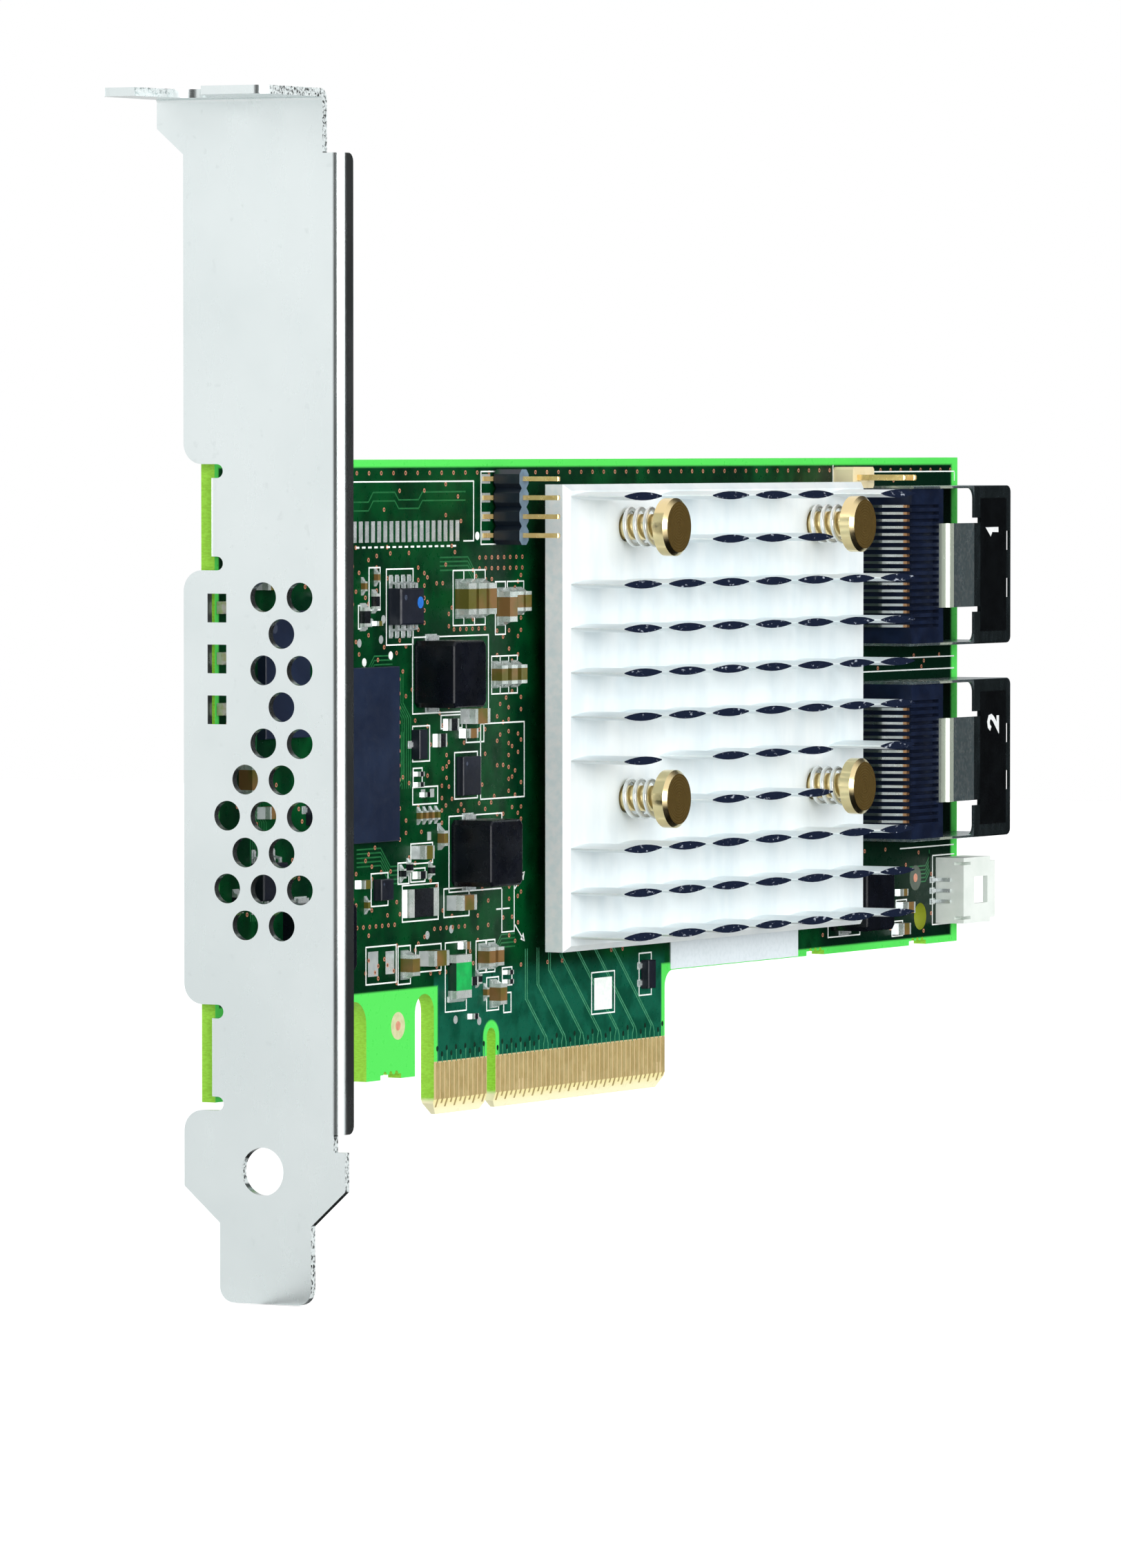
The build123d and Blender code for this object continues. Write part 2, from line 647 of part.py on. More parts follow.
def heatsink():
    """A thick plate with bevelled rim and rows of lens-shaped fins."""
    plate = raised(span(SINK_LEFT, SINK_RIGHT, SINK_BOTTOM, SINK_TOP), SINK_BACK, SINK_FACE)
    plate = chamfer(outer_edges(plate), SINK_CHAMFER)
    for place in PINS:
        plate -= raised(disc(place, PIN_HOLE_R), SINK_BACK - 1, SINK_FACE + 1)
    fin = raised(fin_profile(), SINK_FACE - 0.2, SINK_FACE + FIN_HEIGHT)
    return plate.fuse(*[Pos(x, 0, z) * fin for x, z in fin_places()])


def heatsink_pins():
    """Turned brass pins: a bevelled head, a shank through heatsink and board, a split barb."""
    under_head = PIN_TOP - PIN_HEAD_H
    barb_end = -BOARD_T - PIN_BARB_H
    profile = polygon(
        (0, PIN_TOP),
        (PIN_HEAD_R - PIN_HEAD_CHAMFER, PIN_TOP),
        (PIN_HEAD_R, PIN_TOP - PIN_HEAD_CHAMFER),
        (PIN_HEAD_R, under_head),
        (PIN_SHANK_R, under_head),
        (PIN_SHANK_R, -BOARD_T),
        (PIN_BARB_R, -BOARD_T),
        (PIN_BARB_TIP_R, barb_end),
        (0, barb_end),
    )
    pin = revolve(profile, Axis.Y) - Pos(0, barb_end) * Box(PIN_SPLIT, 2 * PIN_BARB_H - 0.6, 3 * PIN_BARB_R)
    return [Pos(x, FACE, z) * Rot(180, 0, 0) * pin for x, z in PINS]


def pin_springs():
    """Compression springs round the pins, between the heatsink and each head."""
    rise = SPRING_LENGTH - SPRING_WIRE - 2 * SPRING_CLEARANCE
    coil = Helix(rise / SPRING_TURNS, rise, SPRING_R)
    wire = Plane(coil @ 0, z_dir=coil % 0) * RegularPolygon(SPRING_WIRE / 2, SPRING_SIDES)
    spring = sweep(wire, path=coil, is_frenet=True)
    seat = FACE - SINK_FACE - SPRING_WIRE / 2 - SPRING_CLEARANCE
    return [Pos(x, seat, z) * Rot(90, 0, 0) * spring for x, z in PINS]


def port_housing(z):
    """A block with a comb of lead slots in its top and the plug's slot in its front."""
    housing = raised(span(PORT_LEFT, PORT_HOUSING_RIGHT, z - PORT_W / 2, z + PORT_W / 2), 0, PORT_H)
    slot = span(PORT_LEFT - 1, COMB_RIGHT, -COMB_SLOT / 2, COMB_SLOT / 2)
    cutter = raised(slot, PORT_H - COMB_DEPTH, PORT_H + 1)
    comb = [Pos(0, 0, z + dz) * cutter for dz in row(PORT_PIN_COUNT, PORT_PIN_PITCH)]
    left = PORT_HOUSING_RIGHT - PLUG_SLOT_DEPTH
    plug = span(left, PORT_HOUSING_RIGHT + 1, z - PLUG_SLOT_W / 2, z + PLUG_SLOT_W / 2)
    return housing.cut(*comb, raised(plug, PLUG_SLOT_H - PLUG_SLOT_T / 2, PLUG_SLOT_H + PLUG_SLOT_T / 2))


def port_contacts(z):
    """Leads with a foot on the board, up beside the housing's rear face and leaning into its comb."""
    riser = PORT_LEFT - PORT_LEAD_OUT
    foot = riser - PORT_PIN_T - PORT_TAIL
    floor = PORT_H - COMB_DEPTH
    end = PORT_LEFT + PORT_LEAD_END
    path = [
        (foot, 0),
        (riser, 0),
        (riser, PORT_LEAD_BEND),
        (PORT_LEFT, floor),
        (end, floor),
        (end, floor + PORT_PIN_T),
        (PORT_LEFT - PORT_PIN_T / 2, floor + PORT_PIN_T),
        (riser - PORT_PIN_T, PORT_LEAD_BEND),
        (riser - PORT_PIN_T, PORT_PIN_T),
        (foot, PORT_PIN_T),
    ]
    section = polygon(*[(x, FACE - h) for x, h in path])
    low = [z + dz - PORT_PIN_W / 2 for dz in row(PORT_PIN_COUNT, PORT_PIN_PITCH)]
    return [extrude(Plane.XY.offset(bottom) * section, amount=PORT_PIN_W) for bottom in low]


def port_cage(z):
    """A folded sheet: two side walls on the board, a hood over the mouth and a latch strap."""
    wall = PORT_W / 2 + CAGE_T
    top = span(PORT_LEFT, CAGE_RIGHT, z - wall, z + wall)
    window = span(PORT_LEFT - 1, CAGE_HOOD_LEFT, z - PORT_W / 2, z + PORT_W / 2)
    corners = [(CAGE_HOOD_LEFT, z - PORT_W / 2), (CAGE_HOOD_LEFT, z + PORT_W / 2)]
    top = rounded(top, CAGE_END_R, (CAGE_RIGHT, z - wall), (CAGE_RIGHT, z + wall))
    top -= rounded(window, CAGE_CORNER, *corners)
    top += span(STRAP_LEFT, CAGE_HOOD_LEFT, z - STRAP_W / 2, z + STRAP_W / 2)
    for side in (-1, 1):
        middle = z + side * (STRAP_W + STRAP_RELIEF[1]) / 2
        top -= Pos(CAGE_HOOD_LEFT + STRAP_RELIEF[0] / 2, middle) * Rectangle(*STRAP_RELIEF)
    for dz in row(2, LATCH_SLOT_PITCH):
        top -= Pos(LATCH_SLOT_X, z + dz) * Rectangle(*LATCH_SLOT)
    cage = raised(top, PORT_H, PORT_H + CAGE_T)
    for side in (-1, 1):
        outside = z + side * wall
        cage += raised(span(PORT_LEFT, CAGE_RIGHT - CAGE_END_R, outside - side * CAGE_T, outside), 0, PORT_H)
    bends = [e for e in outer_edges(cage).filter_by(Axis.X) if abs(abs(e.center().Z - z) - wall) < 0.01]
    cage = fillet(bends, CAGE_BEND)
    left, right, rise = STRAP_RIB
    foot = FACE - PORT_H - CAGE_T
    rib = polygon((left, foot), (right, foot), (right - rise, foot - rise), (left + rise, foot - rise))
    return cage + extrude(Plane.XY.offset(z - STRAP_W / 2) * rib, amount=STRAP_W)


def side_contacts():
    """Contacts with a foot on the board, up the rear face and through it into the cavity."""
    rear = SIDE_LEFT - SIDE_PIN_T
    high = SIDE_PIN_H + SIDE_PIN_T
    path = [
        (rear - SIDE_TAIL, 0),
        (SIDE_LEFT, 0),
        (SIDE_LEFT, SIDE_PIN_H),
        (SIDE_PIN_END, SIDE_PIN_H),
        (SIDE_PIN_END, high),
        (rear, high),
        (rear, SIDE_PIN_T),
        (rear - SIDE_TAIL, SIDE_PIN_T),
    ]
    section = polygon(*[(x, FACE - h) for x, h in path])
    low = [SIDE_Z + dz - SIDE_PIN_W / 2 for dz in row(SIDE_PIN_COUNT, SIDE_PIN_PITCH)]
    return [extrude(Plane.XY.offset(bottom) * section, amount=SIDE_PIN_W) for bottom in low]


def side_connector_housing():
    """A white housing open at the board's edge, with a window over the plug's latch."""
    mouth_length, mouth_width = SIDE_MOUTH
    outline = span(SIDE_LEFT, SIDE_RIGHT - mouth_length, SIDE_Z - SIDE_W / 2, SIDE_Z + SIDE_W / 2)
    outline += span(SIDE_LEFT, SIDE_RIGHT, SIDE_Z - mouth_width / 2, SIDE_Z + mouth_width / 2)
    housing = raised(outline, 0, SIDE_H)
    inner = mouth_width / 2 - SIDE_WALL
    cavity = span(SIDE_RIGHT - SIDE_CAVITY, SIDE_RIGHT + 1, SIDE_Z - inner, SIDE_Z + inner)
    housing -= raised(cavity, SIDE_WALL, SIDE_H - SIDE_WALL)
    housing -= block(SIDE_WINDOW_X, SIDE_Z, *SIDE_WINDOW, SIDE_H - 2 * SIDE_WALL, SIDE_H + 1)
    length, width, depth = SIDE_SLOT
    for side in (-1, 1):
        middle = SIDE_Z + side * (SIDE_W / 2 - SIDE_SLOT_INSET)
        slot = span(SIDE_LEFT - 1, SIDE_LEFT + length, middle - width / 2, middle + width / 2)
        housing -= raised(slot, SIDE_H - depth, SIDE_H + 1)
    return housing.cut(*side_contacts())


def header_body():
    """Four joined cells with bevelled corners, each round one post."""
    cell = chamfer(Rectangle(HEADER_W, HEADER_PITCH).vertices(), HEADER_W / 4)
    strip = Pos(HEADER_X, HEADER_Z) * Rectangle(HEADER_W / 2, HEADER_PIN_COUNT * HEADER_PITCH)
    for dz in row(HEADER_PIN_COUNT, HEADER_PITCH):
        strip += Pos(HEADER_X, HEADER_Z + dz) * cell
    for dz in row(HEADER_PIN_COUNT, HEADER_PITCH):
        strip -= Pos(HEADER_X, HEADER_Z + dz) * Rectangle(HEADER_PIN, HEADER_PIN)
    return raised(strip, HEADER_STAND, HEADER_TOP)


def header_pins():
    """Square posts, each with a flat foot that comes out on the bracket's side."""
    pins = []
    for dz in row(HEADER_PIN_COUNT, HEADER_PITCH):
        z = HEADER_Z + dz
        post = block(HEADER_X, z, HEADER_PIN, HEADER_PIN, 0, HEADER_TIP)
        post = chamfer(outer_edges(post), HEADER_PIN / 4)
        foot = span(HEADER_X - HEADER_W / 2 - HEADER_TAIL, HEADER_X, z - HEADER_PIN / 2, z + HEADER_PIN / 2)
        pins.append(post + raised(foot, 0, LEAD_T))
    return pins


def jumper_body():
    body = chamfer(Rectangle(JUMPER_LENGTH, JUMPER_W).vertices(), JUMPER_W / 8)
    body = Pos(JUMPER_X, JUMPER_Z) * body
    for dx in row(2, JUMPER_PITCH):
        body -= Pos(JUMPER_X + dx, JUMPER_Z) * Rectangle(JUMPER_PIN, JUMPER_PIN)
    return raised(body, 0, JUMPER_H)


def jumper_pins():
    """Two square posts, with their soldered ends on the back of the board."""
    pins = []
    for dx in row(2, JUMPER_PITCH):
        post = block(JUMPER_X + dx, JUMPER_Z, JUMPER_PIN, JUMPER_PIN, 0, JUMPER_TIP)
        pins.append(chamfer(outer_edges(post), JUMPER_PIN / 4))
        pins.append(block(JUMPER_X + dx, JUMPER_Z, JUMPER_PIN, JUMPER_PIN, -BOARD_T - JUMPER_TAIL, -BOARD_T))
    return pins


def chip_body(chip):
    """A moulded package with a small bevel round its top."""
    body = block(*chip[:4], 0, chip[4])
    return chamfer(outer_edges(body), chip[4] / 10)


def gull_leads(chip):
    """Leads that leave both ends of a chip half-way up and step down to the board."""
    x, z, _, height, thickness = chip
    bend, reach = CLOCK_LEAD_REACH
    half = thickness / 2
    leads = []
    for side in (-1, 1):
        end = z + side * height / 2
        path = [
            (0, half),
            (bend, half),
            (bend + LEAD_T, 0),
            (reach, 0),
            (reach, LEAD_T),
            (bend + 2 * LEAD_T, LEAD_T),
            (bend + LEAD_T, half + LEAD_T),
            (0, half + LEAD_T),
        ]
        section = polygon(*[(FACE - h, end + side * out) for out, h in path])
        for dx in row(CLOCK_LEAD_COUNT, CLOCK_LEAD_PITCH):
            leads.append(extrude(Plane.YZ.offset(x + dx - CLOCK_LEAD_W / 2) * section, amount=CLOCK_LEAD_W))
    return leads


def transistor_leads():
    """Three flat leads a transistor; the second one is turned end for end."""
    length, width = TRANSISTOR_LEAD
    leads = []
    for i, (x, z, body_width, _, _) in enumerate(TRANSISTORS):
        single = 1 if i == 1 else -1
        out = (body_width + length) / 2
        leads.append(block(x + single * out, z, length, width, 0, LEAD_T))
        for dz in (-TRANSISTOR_SPREAD, TRANSISTOR_SPREAD):
            leads.append(block(x - single * out, z + dz, length, width, 0, LEAD_T))
    return leads


def inductor_bodies():
    """Moulded power inductors with bevelled corners."""
    profile = chamfer(Rectangle(INDUCTOR_SIZE, INDUCTOR_SIZE).vertices(), INDUCTOR_EDGE)
    bodies = [raised(Pos(*place) * profile, 0, INDUCTOR_H) for place in INDUCTORS]
    return [fillet(outer_edges(body), INDUCTOR_ROUND) for body in bodies]


def inductor_terminals():
    """A tinned terminal below and above each inductor."""
    width, height, thickness = INDUCTOR_FOOT
    out = (INDUCTOR_SIZE + height) / 2
    return [block(x, z + side * out, width, height, 0, thickness) for x, z in INDUCTORS for side in (-1, 1)]


def chip_part(place, high):
    """The body and the two end caps of one two-terminal chip."""
    x, z, length, width, turn = place
    cap = length * END_CAP
    pieces = []
    for shift, along in ((0, length - 2 * cap), ((cap - length) / 2, cap), ((length - cap) / 2, cap)):
        size = (width, along) if turn else (along, width)
        centre = (x, z + shift) if turn else (x + shift, z)
        pieces.append(block(*centre, *size, 0, high))
    return pieces


def save_chips(node, ends_node, places, high=None):
    """Writes the bodies and the end caps of a list of two-terminal chips."""
    parts = [chip_part(place, high or place[3]) for place in places]
    save(node, *[part[0] for part in parts])
    save(ends_node, *[cap for part in parts for cap in part[1:]])


def back_capacitors():
    """Small capacitors on the back of the board, under the controller chip."""
    width, height, thickness = BACK_CAPACITOR
    steps = row(BACK_COUNT, BACK_PITCH)
    places = [(CHIP_X + dx, CHIP_Z + dz) for dx in steps for dz in steps]
    return [block(*place, width, height, -BOARD_T - thickness, -BOARD_T) for place in places]


def status_leds():
    """Lamps on the component face, in line with the bracket's windows."""
    length, width, height = LED_SIZE
    middles = [LED_TOP_Z - LED_PITCH + dz for dz in row(3, LED_PITCH)]
    lamps = [block(BOARD_LEFT + LED_INSET, z, length, width, 0, height) for z in middles]
    return [chamfer(outer_edges(lamp), height / 4) for lamp in lamps]


def service_pads():
    """A row of bare tinned pads for a connector that is not fitted."""
    places = [SERVICE_RIGHT - i * SERVICE_PITCH for i in range(SERVICE_COUNT)]
    return [block(x, SERVICE_Z, *SERVICE_SIZE, 0, PAD_T) for x in places]


def build():
    os.makedirs("parts", exist_ok=True)
    save("circuit_board", circuit_board())
    save("edge_contacts", *edge_contacts())
    save("mounting_bracket", mounting_bracket())
    save("bracket_screws", *bracket_screws())
    save("controller_chip", controller_chip())
    save("thermal_pad", block(CHIP_X, CHIP_Z, CHIP_LID, CHIP_LID, CHIP_H, SINK_BACK))
    save("heatsink", heatsink())
    save("heatsink_pins", *heatsink_pins())
    save("pin_springs", *pin_springs())
    label_heights = (PORT_H + CAGE_T, PORT_H + CAGE_T + LABEL_T)
    for number, z in enumerate(PORTS_Z, start=1):
        save(f"port_{number}_housing", port_housing(z))
        save(f"port_{number}_contacts", *port_contacts(z))
        save(f"port_{number}_cage", port_cage(z))
        save(f"port_{number}_label", block(LABEL_X, z, *LABEL_SIZE, *label_heights))
    save("side_connector_housing", side_connector_housing())
    save("side_connector_pins", *side_contacts())
    save("debug_header_body", header_body())
    save("debug_header_pins", *header_pins())
    save("jumper_header_body", jumper_body())
    save("jumper_header_pins", *jumper_pins())
    save("memory_chips", *[chip_body(chip) for chip in MEMORY_CHIPS])
    save("clock_chips", *[chip_body(chip) for chip in CLOCK_CHIPS])
    save("clock_chip_leads", *[lead for chip in CLOCK_CHIPS for lead in gull_leads(chip)])
    save("power_chips", *[chip_body(chip) for chip in POWER_CHIPS])
    save("transistors", *[chip_body(chip) for chip in TRANSISTORS])
    save("transistor_leads", *transistor_leads())
    save("inductors", *inductor_bodies())
    save("inductor_terminals", *inductor_terminals())
    save_chips("capacitors", "capacitor_ends", CAPACITORS)
    save_chips("resistors", "resistor_ends", RESISTORS, RESISTOR_H)
    save_chips("fuse", "fuse_ends", [FUSE], FUSE_H)
    save("back_capacitors", *back_capacitors())
    save("status_leds", *status_leds())
    save("service_pads", *service_pads())
    save("board_sticker", block(*STICKER, 0, STICKER_T))


build()
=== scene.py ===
import json
import math
import random

import bmesh
import bpy
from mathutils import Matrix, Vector
from mathutils.bvhtree import BVHTree

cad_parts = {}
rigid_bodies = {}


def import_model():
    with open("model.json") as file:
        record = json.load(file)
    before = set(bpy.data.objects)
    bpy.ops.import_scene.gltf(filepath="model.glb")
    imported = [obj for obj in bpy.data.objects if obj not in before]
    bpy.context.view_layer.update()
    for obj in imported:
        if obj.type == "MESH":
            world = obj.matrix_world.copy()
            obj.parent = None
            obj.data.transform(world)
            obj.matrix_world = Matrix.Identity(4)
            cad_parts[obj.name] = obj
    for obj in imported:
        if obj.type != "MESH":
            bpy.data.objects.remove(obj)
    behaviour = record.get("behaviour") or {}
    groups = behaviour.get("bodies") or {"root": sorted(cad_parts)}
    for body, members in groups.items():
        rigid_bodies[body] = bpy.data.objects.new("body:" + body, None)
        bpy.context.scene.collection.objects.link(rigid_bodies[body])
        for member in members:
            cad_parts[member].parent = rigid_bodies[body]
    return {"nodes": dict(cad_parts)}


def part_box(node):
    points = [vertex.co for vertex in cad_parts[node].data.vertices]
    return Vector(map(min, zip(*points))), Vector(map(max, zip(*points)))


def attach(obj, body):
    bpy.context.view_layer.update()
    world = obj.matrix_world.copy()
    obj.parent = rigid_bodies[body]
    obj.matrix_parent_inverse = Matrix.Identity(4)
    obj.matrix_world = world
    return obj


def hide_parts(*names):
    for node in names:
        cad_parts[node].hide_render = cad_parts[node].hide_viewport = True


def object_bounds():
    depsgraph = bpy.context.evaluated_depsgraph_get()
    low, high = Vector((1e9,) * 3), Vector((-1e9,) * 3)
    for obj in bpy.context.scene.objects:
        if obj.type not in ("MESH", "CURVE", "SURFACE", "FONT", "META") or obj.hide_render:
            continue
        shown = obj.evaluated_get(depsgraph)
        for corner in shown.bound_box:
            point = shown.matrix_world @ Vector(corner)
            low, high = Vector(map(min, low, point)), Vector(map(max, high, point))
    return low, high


# The looks of the storage controller card. Lengths are in millimetres, as in the CAD, and MM
# turns them into Blender's metres.

for item in list(bpy.data.objects):
    bpy.data.objects.remove(item)
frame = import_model()
cad_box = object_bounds()
MM = 0.001


def node_box(name):
    """A node's lowest and highest corners, in millimetres."""
    low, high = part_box(name)
    return Vector(low) / MM, Vector(high) / MM


BOARD_LOW, BOARD_HIGH = node_box("circuit_board")
BOARD_LEFT, BOARD_RIGHT, BOARD_TOP = BOARD_LOW.x, BOARD_HIGH.x, BOARD_HIGH.z
HALF_BOARD = BOARD_HIGH.y
PADS_HIGH = node_box("edge_contacts")[1]
FRONT, BACK = -1, 1

# Places on the board that the frame's boxes don't give
LOWER_EDGE = 12.75
TONGUE = (-12.3, 38.95)
KEY_HALF_WIDTH = 0.95
KEY_TOP = 7.6
BEVEL_TOP = 1.6
BEVEL_DEPTH = 0.55
MASK_EDGE = 5.6
COPPER_SETBACK = 0.75
# painted shade: from here to the right the board is painted darker for the heatsink's shadow
PAINTED_SHADE_FROM = 74.0
# The small hole by the white connector, whose drilled wall is olive, as a box round it
HOLE_LEFT = 98.0
HOLE_FROM_EDGE = 1.1
HOLE_BOTTOM = 14.0
HOLE_TOP = 19.5

# Camera, as the photograph was taken
CAMERA_PLACE = (-0.8936, -0.5018, 0.0711)
CAMERA_YAW = 61.134
CAMERA_PITCH = 2.049
CAMERA_LENS = 221.74
CAMERA_SENSOR = 36.0


def srgb(red, green, blue):
    """A colour written as 0 to 255, as the linear colour that a shader takes."""
    values = [v / 255 for v in (red, green, blue)]
    return tuple(v / 12.92 if v <= 0.04045 else ((v + 0.055) / 1.055) ** 2.4 for v in values) + (1.0,)


class NodeTree:
    """Short ways to add and join nodes in the tree of a material or of the world."""

    def __init__(self, owner):
        owner.use_nodes = True
        self.tree = owner.node_tree
        self.nodes = self.tree.nodes

    def feed(self, socket, value):
        """Links a socket to another, or sets its value."""
        if isinstance(value, bpy.types.NodeSocket):
            self.tree.links.new(value, socket)
        else:
            socket.default_value = value

    def math(self, operation, first, second=0.0, third=0.0):
        node = self.nodes.new("ShaderNodeMath")
        node.operation = operation
        for socket, value in zip(node.inputs, (first, second, third)):
            self.feed(socket, value)
        return node.outputs[0]

    def times(self, first, second):
        return self.math("MULTIPLY", first, second)

    def minus(self, first, second):
        return self.math("SUBTRACT", first, second)

    def vector(self, operation, first, second=(0, 0, 0)):
        """The Vector and Value outputs of an operation on vectors."""
        node = self.nodes.new("ShaderNodeVectorMath")
        node.operation = operation
        self.feed(node.inputs[0], first)
        self.feed(node.inputs[1], second)
        return node.outputs[0], node.outputs[1]

    def parts(self, vector):
        """A vector's X, Y and Z."""
        node = self.nodes.new("ShaderNodeSeparateXYZ")
        self.feed(node.inputs[0], vector)
        return node.outputs["X"], node.outputs["Y"], node.outputs["Z"]

    def span(self, value, low, high, to_low=0.0, to_high=1.0):
        """Eases from one level to another while the value goes from low to high."""
        node = self.nodes.new("ShaderNodeMapRange")
        node.interpolation_type = "SMOOTHSTEP"
        names = ("Value", "From Min", "From Max", "To Min", "To Max")
        for name, amount in zip(names, (value, low, high, to_low, to_high)):
            self.feed(node.inputs[name], amount)
        return node.outputs[0]

    def within(self, value, low, high, soft):
        """1 between low and high, and 0 beyond a soft edge of this width."""
        return self.times(self.span(value, low - soft, low), self.span(value, high + soft, high))

    def mix(self, factor, first, second):
        node = self.nodes.new("ShaderNodeMix")
        node.data_type = "RGBA"
        self.feed(node.inputs[0], factor)
        self.feed(node.inputs[6], first)
        self.feed(node.inputs[7], second)
        return node.outputs[2]


class Finish(NodeTree):
    """One procedural material, built node by node round its Principled shader."""

    def __init__(self, name, colour, roughness=0.5, metallic=0.0, **inputs):
        self.material = bpy.data.materials.new(name)
        super().__init__(self.material)
        self.shader = self.nodes["Principled BSDF"]
        self.shader.inputs["Base Color"].default_value = colour
        self.shader.inputs["Roughness"].default_value = roughness
        self.shader.inputs["Metallic"].default_value = metallic
        for key, value in inputs.items():
            self.shader.inputs[key.replace("_", " ").title().replace("Ior", "IOR")].default_value = value
        texture = self.nodes.new("ShaderNodeTexCoord")
        self.place = self.vector("MULTIPLY", texture.outputs["Object"], (1 / MM, 1 / MM, 1 / MM))[0]

    def axes(self):
        """The place on the part as three numbers, in millimetres."""
        return self.parts(self.place)

    def facing(self):
        """How far the surface faces along the card, through it and up."""
        return self.parts(self.nodes.new("ShaderNodeNewGeometry").outputs["Normal"])

    def noise(self, size, detail=3.0, stretch=(1, 1, 1), roughness=0.55):
        """Noise with features of this size in millimetres, longer along the axes with a small stretch."""
        node = self.nodes.new("ShaderNodeTexNoise")
        self.feed(node.inputs["Vector"], self.vector("MULTIPLY", self.place, stretch)[0])
        node.inputs["Scale"].default_value = 1 / size
        node.inputs["Detail"].default_value = detail
        node.inputs["Roughness"].default_value = roughness
        return node.outputs[0]

    def cells(self, size, stretch=(1, 1, 1)):
        """How far the surface is from the middle of its cell, in a pattern of cells of this size."""
        node = self.nodes.new("ShaderNodeTexVoronoi")
        self.feed(node.inputs["Vector"], self.vector("MULTIPLY", self.place, stretch)[0])
        node.inputs["Scale"].default_value = 1 / size
        return node.outputs["Distance"]

    def colour(self, value):
        self.feed(self.shader.inputs["Base Color"], value)
        return self

    def rough(self, value):
        self.feed(self.shader.inputs["Roughness"], value)
        return self

    def bump(self, height, depth, strength=1.0):
        """Bump from a height of 0 to 1, as deep as this in millimetres."""
        node = self.nodes.new("ShaderNodeBump")
        node.inputs["Strength"].default_value = strength
        node.inputs["Distance"].default_value = depth * MM
        self.feed(node.inputs["Height"], height)
        self.feed(self.shader.inputs["Normal"], node.outputs[0])
        return self


def board_finish():
    """Green solder mask over copper planes, bright bare laminate round the rim, yellow-green edges."""
    f = Finish("solder mask", srgb(20, 70, 45), 0.3, specular_ior_level=0.18)
    x, _, z = f.axes()
    _, normal_y, _ = f.facing()
    tongue = f.math("MINIMUM", f.minus(x, TONGUE[0]), f.minus(TONGUE[1], x))
    low = f.math("MAXIMUM", f.minus(z, LOWER_EDGE), tongue)
    right = f.times(f.minus(BOARD_RIGHT, x), 0.5)
    sides = f.math("MINIMUM", right, f.minus(x, BOARD_LEFT))
    rim = f.math("MINIMUM", f.math("MINIMUM", f.minus(BOARD_TOP, z), sides), low)
    above = f.math("MAXIMUM", f.minus(z, KEY_TOP), 0.0)
    across = f.math("POWER", f.math("ABSOLUTE", x), 2.0)
    from_key = f.math("SQRT", f.math("ADD", across, f.math("POWER", above, 2.0)))
    rim = f.math("MINIMUM", rim, f.minus(from_key, KEY_HALF_WIDTH))
    plane = f.mix(f.span(f.noise(9.0, 4.0), 0.35, 0.65), srgb(0, 38, 20), srgb(0, 72, 32))
    traced = f.cells(2.6, (1.0, 1.0, 0.55))
    plane = f.mix(f.span(traced, 0.1, 0.55), srgb(0, 46, 20), plane)
    tongue_plane = f.mix(f.span(f.noise(3.0, 4.0), 0.4, 0.6), srgb(6, 74, 54), srgb(16, 92, 70))
    # painted shade over the board right of the heatsink, standing for its shadow
    plane = f.mix(f.span(x, PAINTED_SHADE_FROM, PAINTED_SHADE_FROM + 4.0), plane, srgb(2, 34, 20))
    on_tongue = f.times(f.span(z, 15.5, 13.5), f.span(tongue, -0.2, 0.2))
    plane = f.mix(on_tongue, plane, tongue_plane)
    mask = f.mix(f.span(rim, COPPER_SETBACK - 0.12, COPPER_SETBACK + 0.2), srgb(88, 228, 94), plane)
    slope = f.mix(f.span(z, 0.2, BEVEL_TOP), srgb(252, 246, 206), srgb(244, 232, 168))
    bare = f.mix(f.span(z, BEVEL_TOP - 0.05, BEVEL_TOP + 0.05), slope, srgb(206, 184, 138))
    unmasked = f.times(f.span(z, MASK_EDGE + 0.03, MASK_EDGE - 0.03), f.span(tongue, -0.1, 0.0))
    mask = f.mix(unmasked, mask, bare)
    weave = f.noise(0.45, 2.0, (1, 1, 3))
    edge = f.mix(f.span(weave, 0.35, 0.65), srgb(146, 208, 62), srgb(160, 224, 74))
    edge = f.mix(f.span(z, BEVEL_TOP - 0.3, BEVEL_TOP + 0.3), srgb(246, 240, 200), edge)
    at_hole_x = f.within(x, HOLE_LEFT, BOARD_RIGHT - HOLE_FROM_EDGE, 0.1)
    at_hole_z = f.within(z, HOLE_BOTTOM, HOLE_TOP, 0.1)
    edge = f.mix(f.times(at_hole_x, at_hole_z), edge, srgb(150, 162, 44))
    is_face = f.span(f.math("ABSOLUTE", normal_y), 0.55, 0.75)
    f.colour(f.mix(is_face, edge, mask))
    f.rough(f.span(f.noise(0.8), 0.3, 0.7, 0.26, 0.4))
    return f.bump(f.noise(0.7, 2.0), 0.006, 0.3)


def metal_finish(name, colour, roughness, dark, size, metallic=1.0, grain=0.3, depth=0.01):
    """Plain metal: cloudy colour, uneven gloss and a fine grain."""
    f = Finish(name, colour, roughness, metallic)
    f.colour(f.mix(f.span(f.noise(size, 4.0), 0.3, 0.7), colour, dark))
    f.rough(f.span(f.noise(size * 0.6, 4.0), 0.3, 0.7, roughness * 0.75, roughness * 1.3))
    return f.bump(f.noise(grain, 2.0), depth, 0.5)


